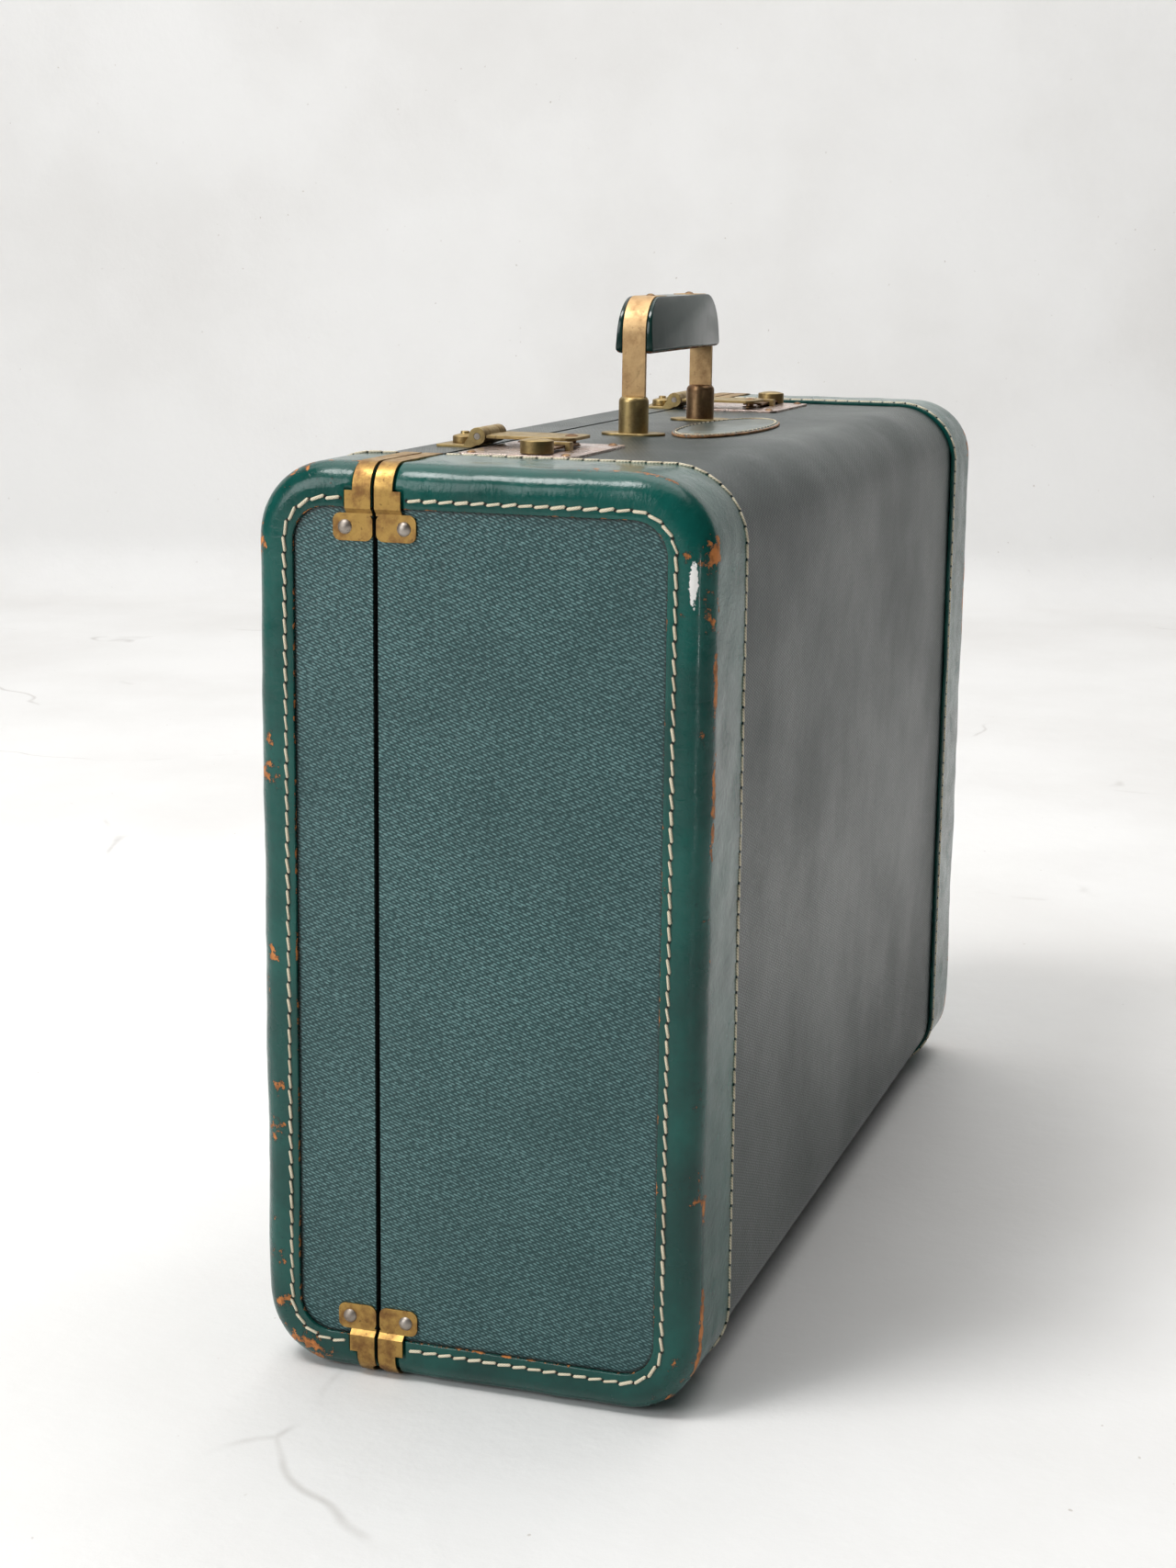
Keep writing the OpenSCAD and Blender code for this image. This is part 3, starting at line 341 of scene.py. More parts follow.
smooth_below = math.radians(40)
cloth_thick = 0.0008
wrap_round = 0.0269
corner_round = 0.019
leather_lap = 0.0062
shadow_wide = 0.0013
past_rim = 0.01
wrap_columns = 44
wrap_rows = 24
first_row = 0.0345
row_apart = 0.01175
wave_wide = 0.11
wave_deep = 0.0006
wave_reach = 0.21
for half in ("base", "lid"):
    low, high = (Vector(corner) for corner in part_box(half + "_canvas"))
    face, rim = (low.y, high.y) if half == "base" else (high.y, low.y)
    inward = 1 if half == "base" else -1
    bpy.ops.mesh.primitive_cube_add(size=1)
    wrap = bpy.context.object
    edit(wrap)
    bpy.ops.mesh.select_all(action="SELECT")
    bpy.ops.transform.resize(value=high - low)
    bpy.ops.transform.translate(value=(low + high) / 2)
    pick(wrap, "FACE", lambda middle, facing: abs(facing.x) > 0.9 or facing.y * inward > 0.9)
    bpy.ops.mesh.delete(type="FACE")
    pick(wrap, "EDGE", lambda middle, along: abs(along.x) > 0.9 and abs(middle.y - face) < 0.001)
    bpy.ops.mesh.bevel(offset=wrap_round, segments=18, affect="EDGES")
    for step in range(1, wrap_columns):
        cut_x = low.x + step * (high.x - low.x) / wrap_columns
        bpy.ops.mesh.select_all(action="SELECT")
        bpy.ops.mesh.bisect(plane_co=(cut_x, 0, 0), plane_no=(1, 0, 0))
    for step in range(wrap_rows):
        bpy.ops.mesh.select_all(action="SELECT")
        bpy.ops.mesh.bisect(plane_co=(0, 0, low.z + first_row + step * row_apart), plane_no=(0, 0, 1))
    edit()
    flat = wrap.vertex_groups.new(name="flat")
    flat.add([point.index for point in wrap.data.vertices
              if abs(point.co.y - face) < 0.0005 and abs(point.co.x) < wave_reach], 1.0, "REPLACE")
    clouds = bpy.data.textures.new(half + "_hollows", "CLOUDS")
    clouds.noise_scale = wave_wide
    apply(wrap, "DISPLACE", texture=clouds, strength=wave_deep, mid_level=1.0, vertex_group="flat")
    apply(wrap, "SOLIDIFY", thickness=cloth_thick, offset=-1)
    bpy.ops.object.shade_smooth_by_angle(angle=smooth_below)
    deep, tall = abs(rim - face), high.z - low.z
    map_points(wrap, "cloth", lambda point: (
        point.x, outline_place(abs(point.y - face), point.z - low.z, deep, tall, wrap_round)[1]))
    wrap.data.materials.append(shade_darkened_twill)
    finish_piece(wrap, half + "_canvas_strip", half, half + "_canvas")

    for end, out in (("near", -1), ("far", 1)):
        node = f"{half}_end_canvas_{end}"
        low, high = (Vector(corner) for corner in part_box(node))
        face, rim = (low.y, high.y) if half == "base" else (high.y, low.y)
        deep, tall = abs(rim - face), high.z - low.z
        middle_y = (face + rim + inward * past_rim) / 2
        bpy.ops.mesh.primitive_plane_add(size=1, rotation=(0, out * math.pi / 2, 0))
        panel = bpy.context.object
        bpy.ops.object.transform_apply(location=True, rotation=True, scale=True)
        edit(panel)
        bpy.ops.mesh.select_all(action="SELECT")
        bpy.ops.transform.resize(value=(1, deep + past_rim, tall))
        bpy.ops.transform.translate(value=(low.x if out < 0 else high.x, middle_y, (low.z + high.z) / 2))
        pick(panel, "VERT", lambda middle, facing: abs(middle.y - face) < 0.001)
        bpy.ops.mesh.bevel(affect="VERTICES", offset=corner_round, segments=10)
        pick(panel, "FACE", lambda middle, facing: True)
        bpy.ops.mesh.inset(thickness=leather_lap)
        bpy.ops.mesh.inset(thickness=shadow_wide)
        bpy.ops.mesh.select_all(action="SELECT")
        bpy.ops.mesh.bisect(plane_co=(0, rim, 0), plane_no=(0, inward, 0), clear_outer=True)
        edit()
        # A band round the panel, under and just beside the leather, is marked for painted shade of the
        # leather's edge.
        grime_and_edge_shade = panel.data.attributes.new("grime_and_edge_shade", "FLOAT", "POINT")
        for point in panel.data.vertices:
            inset = outline_place(abs(point.co.y - face), point.co.z - low.z, deep, tall, corner_round)[0]
            grime_and_edge_shade.data[point.index].value = 1.0 if inset < leather_lap + shadow_wide / 2 else 0.0
        apply(panel, "SOLIDIFY", thickness=cloth_thick, offset=-1)
        map_points(panel, "cloth", lambda point: (point.y * out, point.z))
        panel.data.materials.append(twill)
        finish_piece(panel, f"{half}_canvas_panel_{end}", half, node)


# Leather bindings: green cowhide strips, moulded wet over a rounded bead so that each end has a soft roll.
# One strip runs round three sides and two corners of each half; its cut edges are raw tan on the ends and
# near black along the long sides.
def leather_looks(name, dark, light, raw, gloss, painted_highlight_at=None, creased=1.0):
    """Finished hide: dyed and polished, raw where the map named rub is high, with a white highlight painted
    at one place.
    """
    material, tree, shader = new_material(name)
    hide = put(tree, "UVMap", {"uv_map": "hide"}).outputs[0]
    rub = put(tree, "Attribute", {"attribute_name": "rub"}).outputs["Fac"]
    grain = noise_of(tree, 420.0, 5, 0.6)
    tone = noise_of(tree, 22.0, 5, 0.6)
    colour = blend_of(tree, step_of(tree, tone, 0.3, 0.7), dark, light)
    pores = tuple(part * 0.5 for part in dark)
    colour = blend_of(tree, step_of(tree, grain, 0.55, 0.85, 0, 0.35), colour, pores)
    ragged = math_of(tree, "ADD", noise_of(tree, 210.0, 7, 0.7), math_of(tree, "MULTIPLY", rub, 0.45))
    fade = step_of(tree, ragged, 0.74, 0.84)
    bare = step_of(tree, ragged, 0.815, 0.855)
    burnt = tuple(part * 0.35 for part in dark)
    colour = blend_of(tree, math_of(tree, "MULTIPLY", fade, 0.6), colour, burnt)
    soiled_raw = tuple(part * 0.45 for part in raw)
    raw_tone = blend_of(tree, step_of(tree, noise_of(tree, 300.0, 4), 0.35, 0.7), raw, soiled_raw)
    colour = blend_of(tree, bare, colour, raw_tone)
    if painted_highlight_at:
        # Painted highlight: a white spot on the roll of the near base binding.
        place = put(tree, "TexCoord").outputs["Object"]
        offset = put(tree, "VectorMath", {"operation": "SUBTRACT"}, in_0=place, in_1=painted_highlight_at).outputs[0]
        # One over the half sizes of the painted highlight: about 17 mm deep, 1.7 mm across and 8 mm up.
        narrowing = (60, 600, 120)
        offset = put(tree, "VectorMath", {"operation": "MULTIPLY"}, in_0=offset, in_1=narrowing).outputs[0]
        reach = put(tree, "VectorMath", {"operation": "LENGTH"}, in_0=offset).outputs["Value"]
        reach = math_of(tree, "MULTIPLY_ADD", noise_of(tree, 420.0, 5, 0.7), 1.8, reach)
        colour = blend_of(tree, step_of(tree, reach, 1.65, 1.8, 1, 0), colour, (0.86, 0.85, 0.82))
    feed(tree, shader.inputs["Base Color"], colour)
    polish = step_of(tree, noise_of(tree, 70.0, 5), 0.3, 0.75, gloss, gloss + 0.14)
    feed(tree, shader.inputs["Roughness"], blend_of(tree, bare, polish, (0.75, 0.75, 0.75)))
    shader.inputs["Specular IOR Level"].default_value = 0.28
    shader.inputs["Coat Weight"].default_value = 0.15
    shader.inputs["Coat Roughness"].default_value = 0.07
    folds = noise_of(tree, 1.0, 4, 0.6, place=hide, stretch=(320, 190, 1), distortion=0.8)
    relief = bump_of(tree, shader, folds, 0.0002 * creased)
    scrapes = noise_of(tree, 1.0, 2, 0.5, place=hide, stretch=(2200, 170, 1), distortion=0.3)
    relief = bump_of(tree, shader, step_of(tree, scrapes, 0.6, 0.85), 0.00002, relief)
    relief = bump_of(tree, shader, grain, 0.00008 * creased, relief)
    bump_of(tree, shader, math_of(tree, "SUBTRACT", 1.0, bare), 0.00015, relief)
    return material


green_hide = leather_looks("green_hide", dark=(0.0025, 0.043, 0.035), light=(0.004, 0.084, 0.068),
                           raw=(0.58, 0.21, 0.055), gloss=0.16, painted_highlight_at=(-0.24503, -0.07878, 0.3062))
raw_edge, tree, shader = new_material("raw_hide_edge")
strands = noise_of(tree, 500.0, 5, 0.7)
across = put(tree, "SeparateXYZ", in_0=put(tree, "UVMap", {"uv_map": "hide"}).outputs[0]).outputs[1]
tan = blend_of(tree, step_of(tree, strands, 0.35, 0.65), (0.09, 0.045, 0.02), (0.50, 0.22, 0.08))
tan = blend_of(tree, step_of(tree, noise_of(tree, 60.0, 4), 0.45, 0.6), tan, (0.06, 0.035, 0.02))
# Far across the strip, along the long sides, the cut edge is near black.
long_side_dark = step_of(tree, across, 0.02, 0.04)
feed(tree, shader.inputs["Base Color"], blend_of(tree, long_side_dark, tan, (0.012, 0.009, 0.006)))
feed(tree, shader.inputs["Roughness"], 0.8)
bump_of(tree, shader, strands, 0.0003)

case_end = -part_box("base_binding_near")[0][0]
case_high = 0.343
edge_round = 0.029
roll = 0.010
end_lap = 0.0162
long_lap = 0.0485
hide_thick = 0.002
seat_deep = 0.001
long_seat = 0.0069
end_seat = 0.0099
seat_step = 0.0004
seat_play = 0.0002
board_play = 0.0003
thinned = 1 - seat_deep / hide_thick
cut_apart = 0.004
roll_steps = 12
corner_steps = 16
side_steps = 70
lump_wide = 0.022
lump_high = 0.0011
cut_round = 0.0005
lip = end_lap - roll
roll_length = roll * math.pi / 2
corner_length = edge_round * math.pi / 2


def across_hide(inset, reach):
    """How far a point lies across the strip, from its cut edge on the end and over the roll."""
    if inset > roll:
        return end_lap - inset
    if reach > roll:
        return lip + roll_length + reach - roll
    return lip + roll * math.atan2(roll - inset, max(roll - reach, 1e-6))


mm = 0.001
edge_rub = 0.003
corner_rub = 0.03
cut_rub = 0.0005
rub_big_face = 0.82
rub_elsewhere = 0.58
rub_cut_edge = 0.62
# Rubbed spots, in millimetres: how far in from the end, across the case, up and how wide; then how bare.
worn_near = [
    (5.3, -84.6, 316, 10, 0.85), (5.5, -85, 296, 14, 0.6), (4.5, -84, 255, 12, 0.5),
    (2.5, -84, 190, 12, 0.45), (3.5, -84, 120, 12, 0.45), (2.5, -84, 90, 14, 0.6),
    (4.5, -80, 22, 12, 0.62), (4.5, -74, 6, 12, 0.58),
    (0.3, -77, 316, 3.5, 0.75), (1.5, -82, 317, 4, 0.75), (0.6, -79.3, 299, 4, 0.7), (0.5, -70, 200, 8, 0.4),
    (0.5, 66, 8, 16, 0.8), (0.5, 80, 14, 14, 0.6), (0.4, 77, 26, 6, 0.82), (0.5, 79, 44, 6, 0.84),
    (0.5, 79, 57, 5, 0.80), (0.6, 79, 93, 8, 0.86), (0.4, 77, 109, 5, 0.80), (1.8, 83, 148, 5, 0.80),
    (0.6, 80, 160, 6, 0.84), (0.6, 80, 229, 8, 0.86), (0.7, 80, 242, 5, 0.82), (3.0, 84, 312, 9, 0.75),
    (2.5, 74, 340, 14, 0.7), (0.5, 52, 343, 12, 0.5), (11.5, -40, 343, 10, 0.45), (0.5, -30, 329, 8, 0.4)]
worn_far = [
    (3.5, -82, 320, 15, 0.8), (4.5, -84, 200, 14, 0.5), (3.5, -82, 18, 16, 0.85), (3.5, 82, 20, 15, 0.8),
    (4.5, 84, 170, 14, 0.5), (3.5, 82, 322, 15, 0.75), (16, 40, 343, 12, 0.5), (16, -60, 0, 16, 0.7)]

for half in ("base", "lid"):
    low, high = (Vector(corner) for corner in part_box(f"{half}_binding_near"))
    half_depth = high.y - low.y
    leg = half_depth - edge_round
    tall = case_high - 2 * edge_round
    bpy.ops.mesh.primitive_plane_add(size=lip, location=(0, half_depth + lip / 2, roll + lip / 2),
                                     rotation=(0, math.pi / 2, 0))
    strip = bpy.context.object
    bpy.ops.object.transform_apply(location=True, rotation=True, scale=True)
    edit(strip)
    pick(strip, "VERT", lambda middle, facing: middle.y > half_depth + lip / 2)
    bpy.ops.mesh.delete(type="VERT")
    pick(strip, "EDGE", lambda middle, along: True)
    bpy.ops.mesh.subdivide(number_cuts=3)
    pick(strip, "VERT", lambda middle, facing: middle.z < roll + 1e-5)
    bpy.ops.mesh.spin(steps=roll_steps, angle=math.pi / 2, center=(roll, half_depth, roll), axis=(0, 1, 0))
    shift = ((long_lap - roll) / roll_steps, 0, 0)
    for step in range(roll_steps):
        bpy.ops.mesh.extrude_region_move(TRANSFORM_OT_translate={"value": shift})
    runs = [long_seat, seat_step, end_seat - long_seat - seat_step, seat_step]
    rest = leg - sum(runs)
    leg_steps = max(round(rest / cut_apart), 1)
    runs += [rest / leg_steps] * leg_steps
    bpy.ops.mesh.select_all(action="SELECT")
    for run in runs:
        bpy.ops.mesh.extrude_region_move(TRANSFORM_OT_translate={"value": (0, -run, 0)})
    foot_centre = (0, edge_round, edge_round)
    top_centre = (0, edge_round, case_high - edge_round)
    bpy.ops.mesh.spin(steps=corner_steps, angle=math.pi / 2, center=foot_centre, axis=(1, 0, 0))
    for step in range(side_steps):
        bpy.ops.mesh.extrude_region_move(TRANSFORM_OT_translate={"value": (0, 0, tall / side_steps)})
    bpy.ops.mesh.spin(steps=corner_steps, angle=math.pi / 2, center=top_centre, axis=(1, 0, 0))
    for run in reversed(runs):
        bpy.ops.mesh.extrude_region_move(TRANSFORM_OT_translate={"value": (0, run, 0)})
    bpy.ops.mesh.select_all(action="SELECT")
    bpy.ops.mesh.remove_doubles(threshold=1e-6)
    bpy.ops.mesh.normals_make_consistent(inside=False)
    edit()
    if sum(face.normal.x * face.area for face in strip.data.polygons) > 0:
        strip.data.flip_normals()
    thick = strip.vertex_groups.new(name="thick")
    for point in strip.data.vertices:
        inset, run = outline_place(point.co.y, point.co.z, half_depth, case_high, edge_round)
        from_rim = half_depth - point.co.y
        seated = from_rim < (end_seat if inset > roll - 1e-5 else long_seat) + 1e-5
        thick.add([point.index], thinned if seated else 1.0, "REPLACE")
    lumps = bpy.data.textures.new(half + "_lumps", "CLOUDS")
    lumps.noise_scale = lump_wide
    lumps.noise_depth = 3
    apply(strip, "DISPLACE", texture=lumps, strength=lump_high, mid_level=1.0)
    for point in strip.data.vertices:
        if point.groups[0].weight < (1 + thinned) / 2:
            point.co -= point.normal * (seat_deep - seat_play)
    apply(strip, "SOLIDIFY", thickness=hide_thick - board_play, offset=-1, vertex_group="thick",
          material_offset_rim=1)
    apply(strip, "BEVEL", width=cut_round, segments=2, limit_method="ANGLE", angle_limit=math.radians(60))
    bpy.ops.object.shade_smooth_by_angle(angle=math.radians(50))

    def hide_place(point):
        """Place on the strip of hide: along it from the bottom rim, and across it from its cut edge."""
        inset, run = outline_place(point.y, point.z, half_depth, case_high, edge_round)
        return run, across_hide(inset, point.x)

    map_points(strip, "hide", hide_place)
    strip.vertex_groups.clear()
    strip.data.materials.append(green_hide)
    strip.data.materials.append(raw_edge)
    for end, out in (("near", -1), ("far", 1)):
        piece = bpy.data.objects.new("strip", strip.data.copy())
        bpy.context.collection.objects.link(piece)
        side = 1 if half == "base" else -1
        face = low.y if half == "base" else high.y
        move = Matrix.Translation((out * case_end, face, 0))
        piece.data.transform(move @ Matrix.Diagonal((-out, side, 1, 1)))
        if -out * side < 0:
            piece.data.flip_normals()
        rub = piece.data.attributes.new("rub", "FLOAT", "POINT")
        for point in piece.data.vertices:
            reach = case_end - abs(point.co.x)
            depth = abs(point.co.y - face)
            inset, run = outline_place(depth, point.co.z, half_depth, case_high, edge_round)
            across = across_hide(max(inset, 0.0), reach)
            patchy = 0.6 + noise.noise(point.co * 45) + 0.5 * noise.noise(point.co * 150)
            edge = patchy * math.exp(-((across - lip - roll_length * 0.94) / edge_rub) ** 2)
            foot = math.exp(-((run - leg - corner_length / 2) / corner_rub) ** 2)
            corner = foot + math.exp(-((run - leg - tall - 1.5 * corner_length) / corner_rub) ** 2)
            big_face = half == "base" and leg < run < leg + tall + 1.3 * corner_length
            level = edge * ((rub_big_face if big_face else rub_elsewhere) + 0.14 * corner)
            level = max(level, rub_cut_edge * math.exp(-(across / cut_rub) ** 2))
            for inside, y, z, size, strength in worn_near if end == "near" else worn_far:
                spot = Vector((out * (case_end - inside * mm), y * mm, z * mm))
                gap = (point.co - spot).length / (size * mm)
                level = max(level, strength * math.exp(-gap * gap) + 0.2 * edge)
            rub.data[point.index].value = level
        finish_piece(piece, f"{half}_leather_binding_{end}", half, f"{half}_binding_{end}")
    bpy.data.objects.remove(strip)


# Thread: heavy waxed linen, cream gone yellow, sewn in a saddle stitch through punched holes.
# One row runs along each cut edge of the bindings, round both corners and up to the clips.
thread, tree, shader = new_material("waxed_thread")
turn = put(tree, "SeparateXYZ", in_0=put(tree, "UVMap", {"uv_map": "ply"}).outputs[0])
ply_turns = 5200.0
wound = [math_of(tree, "MULTIPLY", part, ply_turns) for part in turn.outputs[:2]]
twist = math_of(tree, "SINE", math_of(tree, "ADD", *wound))
ply = step_of(tree, twist, -0.6, 0.9)
grime_and_edge_shade = noise_of(tree, 90.0, 4)
colour = blend_of(tree, ply, (0.64, 0.55, 0.39), (0.86, 0.79, 0.61))
colour = blend_of(tree, step_of(tree, grime_and_edge_shade, 0.5, 0.8, 0, 0.45), colour, (0.42, 0.29, 0.15))
feed(tree, shader.inputs["Base Color"], colour)
feed(tree, shader.inputs["Roughness"], 0.6)
bump_of(tree, shader, ply, 0.00012)
# Painted shade: each hole between stitches is a near-black disc standing for the shade inside it.
hole_shade_finish, tree, shader = new_material("painted_hole_shade")
colour = blend_of(tree, noise_of(tree, 800.0), (0.004, 0.006, 0.005), (0.02, 0.018, 0.012))
feed(tree, shader.inputs["Base Color"], colour)
feed(tree, shader.inputs["Roughness"], 0.9)

pitch = 0.00585
stitch_long = 0.0057
stitch_wide = 0.00115
stitch_lift = 0.0003
stitch_dip = 0.00035
hole_wide = 0.00124
hole_deep = 0.0008
hole_sunk = 0.00025
bpy.ops.mesh.primitive_cylinder_add(vertices=8, radius=stitch_wide / 2, depth=stitch_long,
                                    rotation=(0, math.pi / 2, 0))
stitch = bpy.context.object
bpy.ops.object.transform_apply(location=True, rotation=True, scale=True)
edit(stitch)
pick(stitch, "EDGE", lambda middle, along: abs(abs(middle.x) - stitch_long / 2) < 1e-5)
bpy.ops.mesh.bevel(offset=stitch_wide * 0.46, segments=3, affect="EDGES")
pick(stitch, "VERT", lambda middle, facing: abs(middle.x) > stitch_long * 0.36)
bpy.ops.transform.translate(value=(0, 0, -stitch_dip))
pick(stitch, "VERT", lambda middle, facing: abs(middle.x) > stitch_long * 0.44)
bpy.ops.transform.resize(value=(1, 0.5, 1))
edit()
bpy.ops.object.shade_smooth()
map_points(stitch, "ply", lambda point: (point.x, math.atan2(point.z, point.y) * stitch_wide / 2))
bpy.ops.mesh.primitive_cylinder_add(vertices=8, radius=hole_wide / 2, depth=hole_deep)
hole = bpy.context.object
hole.data.uv_layers.new(name="ply")


def sew(name, body, row, scale=1.0):
    """Copies the stitch and the hole to every place on a row and joins them into one piece."""
    chance = random.Random(name)
    copies = []
    for place, along, out in row:
        across = out.cross(along).normalized()
        turn = Matrix((along, across, out)).transposed().to_4x4()
        lean = Matrix.Rotation(chance.uniform(0.10, 0.20), 4, "Z")
        copy = stitch.data.copy()
        longer = scale * chance.uniform(0.92, 1.04)
        wider = scale * chance.uniform(0.85, 1.15)
        size = Matrix.Diagonal((longer, wider, scale, 1))
        copy.transform(Matrix.Translation(place + out * stitch_lift) @ turn @ lean @ size)
        copies.append((copy, thread))
        # The hole disc carries painted shade, not a colour of the leather.
        copy = hole.data.copy()
        copy.transform(Matrix.Translation(place + along * pitch / 2 - out * hole_sunk) @ turn)
        copies.append((copy, hole_shade_finish))
    pieces = []
    for copy, material in copies:
        copy.materials.clear()
        copy.materials.append(material)
        piece = bpy.data.objects.new(name, copy)
        bpy.context.collection.objects.link(piece)
        pieces.append(piece)
    bpy.ops.object.select_all(action="DESELECT")
    for piece in pieces:
        piece.select_set(True)
    bpy.context.view_layer.objects.active = pieces[0]
    bpy.ops.object.join()
    sewn = bpy.context.object
    sewn.name = sewn.data.name = name
    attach(sewn, body)


def along_row(inset, half_depth, start, face, side):
    """Evenly spaced places round the outline of a half, each with its direction and the way outwards."""
    bend = edge_round - inset
    leg = half_depth - start - edge_round
    straight = [leg, bend * math.pi / 2, case_high - 2 * edge_round, bend * math.pi / 2, leg]
    count = int(sum(straight) / pitch)
    to_side = Matrix.Diagonal((1, side, 1))
    places = []
    for index in range(count):
        run = (index + 0.5) * sum(straight) / count
        part = 0
        while run > straight[part]:
            run -= straight[part]
            part += 1
        if part in (1, 3):
            angle = run / bend if part == 1 else math.pi / 2 + run / bend
            centre = Vector((0, edge_round, edge_round if part == 1 else case_high - edge_round))
            along = Vector((0, -math.cos(angle), math.sin(angle)))
            out = Vector((0, -math.sin(angle), -math.cos(angle)))
            place = centre + out * bend
        elif part == 0:
            along, out = Vector((0, -1, 0)), Vector((0, 0, -1))
            place = Vector((0, half_depth - start - run, inset))
        elif part == 2:
            along, out = Vector((0, 0, 1)), Vector((0, -1, 0))
            place = Vector((0, inset, edge_round + run))
        else:
            along, out = Vector((0, 1, 0)), Vector((0, 0, 1))
            place = Vector((0, edge_round + run, case_high - inset))
        places.append((to_side @ place + Vector((0, face, 0)), to_side @ along, to_side @ out))
    return places


end_row_in = 0.0131
end_row_stop = 0.0115
side_row_in = 0.046
side_row_stop = 0.0085
row_sunk = 0.0004
for half in ("base", "lid"):
    low, high = (Vector(corner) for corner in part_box(f"{half}_binding_near"))
    half_depth = high.y - low.y
    face, side = (low.y, 1) if half == "base" else (high.y, -1)
    for end, way in (("near", -1), ("far", 1)):
        row = [(place + Vector((way * (case_end - row_sunk), 0, 0)), along, Vector((way, 0, 0)))
               for place, along, out in along_row(end_row_in, half_depth, end_row_stop, face, side)]
        sew(f"{half}_end_stitches_{end}", half, row)
        row = [(place + Vector((way * (case_end - side_row_in), 0, 0)) - out * row_sunk, along, out)
               for place, along, out in along_row(0.0, half_depth, side_row_stop, face, side)]
        sew(f"{half}_side_stitches_{end}", half, row)


# Brass clips: stamped sheet brass, stepped and folded over the ends of each binding at the split.
# They hold the leather and the board together, with one steel rivet through each foot.
sharp_above = math.radians(35)


def softened(name, node, body, material, edge):
    """A worn copy of a CAD piece: its sharp edges rubbed round."""
    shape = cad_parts[node].data.copy()
    shape.transform(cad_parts[node].matrix_world)
    shape.materials.clear()
    shape.materials.append(material)
    piece = bpy.data.objects.new(name, shape)
    bpy.context.collection.objects.link(piece)
    edit(piece)
    bpy.ops.mesh.select_all(action="SELECT")
    bpy.ops.mesh.remove_doubles(threshold=1e-6)
    bpy.ops.mesh.dissolve_limited(angle_limit=math.radians(0.4))
    edit()
    apply(piece, "BEVEL", width=edge, segments=2, limit_method="ANGLE", angle_limit=sharp_above)
    bpy.ops.object.shade_smooth_by_angle(angle=smooth_below)
    apply(piece, "WEIGHTED_NORMAL", keep_sharp=True)
    finish_piece(piece, name, body, node)
    return piece


def metal_looks(name, bright, brown, dark, tarnish, gloss):
    """Old plated metal: bright where handled, brown and spotted where it is not."""
    material, tree, shader = new_material(name)
    cloud = noise_of(tree, 130.0, 6, 0.68)
    spots = noise_of(tree, 480.0, 4, 0.65)
    colour = blend_of(tree, step_of(tree, cloud, 0.62 - tarnish, 0.92 - tarnish), bright, brown)
    colour = blend_of(tree, step_of(tree, spots, 0.58, 0.74, 0, 0.7), colour, dark)
    feed(tree, shader.inputs["Base Color"], colour)
    feed(tree, shader.inputs["Metallic"], step_of(tree, spots, 0.58, 0.76, 1.0, 0.8))
    worn = step_of(tree, cloud, 0.3, 0.8, gloss, gloss + 0.25)
    feed(tree, shader.inputs["Roughness"], worn)
    scratches = noise_of(tree, 300.0, 3, 0.6, stretch=(0.12, 1, 1))
    relief = bump_of(tree, shader, noise_of(tree, 220.0, 4), 0.00016)
    bump_of(tree, shader, scratches, 0.00006, relief)
    return material


brass = metal_looks("antique_brass", bright=(0.42, 0.26, 0.08), brown=(0.22, 0.115, 0.045),
                    dark=(0.07, 0.035, 0.015), tarnish=0.24, gloss=0.36)
olive_brass = metal_looks("olive_brass", bright=(0.38, 0.28, 0.125), brown=(0.24, 0.165, 0.075),
                          dark=(0.09, 0.055, 0.03), tarnish=0.2, gloss=0.38)
satin_brass = metal_looks("satin_brass", bright=(0.54, 0.36, 0.18), brown=(0.43, 0.27, 0.135),
                          dark=(0.30, 0.18, 0.09), tarnish=0.16, gloss=0.42)
dull_brass = metal_looks("dull_brass", bright=(0.30, 0.19, 0.10), brown=(0.17, 0.095, 0.05),
                         dark=(0.06, 0.035, 0.02), tarnish=0.26, gloss=0.34)
rivet_steel = metal_looks("rivet_steel", bright=(0.38, 0.34, 0.30), brown=(0.26, 0.20, 0.15),
                          dark=(0.08, 0.05, 0.035), tarnish=0.15, gloss=0.42)
for half in ("base", "lid"):
    softened(half + "_brass_clips", half + "_clips", half, brass, edge=0.00012)
    softened(half + "_clip_rivet_heads", half + "_clip_rivets", half, rivet_steel, edge=0.00008)


# Locks: a nickelled plate riveted to the deck each side of the handle, with a bolt that slides on it.
# The bolt carries a turned brass thumb knob and runs under a folded guide.
plate_metal = metal_looks("worn_nickel", bright=(0.60, 0.48, 0.43), brown=(0.40, 0.25, 0.19),
                          dark=(0.09, 0.05, 0.035), tarnish=0.18, gloss=0.2)
for end in ("near", "far"):
    softened(f"lock_face_{end}", f"lock_plate_{end}", "base", plate_metal, edge=0.0002)
    softened(f"lock_bolt_{end}", f"bolt_{end}", f"{end}_bolt", dull_brass, edge=0.0001)
    softened(f"lock_knob_{end}", f"thumb_knob_{end}", f"{end}_bolt", olive_brass, edge=0.0008)
softened("lock_rivet_heads", "lock_rivets", "base", dull_brass, edge=0.00008)
softened("lock_bolt_guides", "bolt_guides", "base", olive_brass, edge=0.0001)


# Hasps: each is a stamped brass arm that swings up on a pin from a leaf riveted to the lid.
# A headed post on its tip drops through the plate, where the bolt grips it.
for end in ("near", "far"):
    softened(f"hasp_lid_leaf_{end}", f"hasp_leaf_{end}", "lid", olive_brass, edge=0.00012)
    softened(f"hasp_arm_{end}", f"hasp_{end}", f"{end}_hasp", olive_brass, edge=0.00015)
    softened(f"hasp_catch_{end}", f"hasp_post_{end}", f"{end}_hasp", dull_brass, edge=0.00015)
softened("hasp_rivet_bosses", "hasp_bosses", "lid", olive_brass, edge=0.0003)
softened("hasp_hinge_pins", "hasp_pins", "lid", rivet_steel, edge=0.0001)


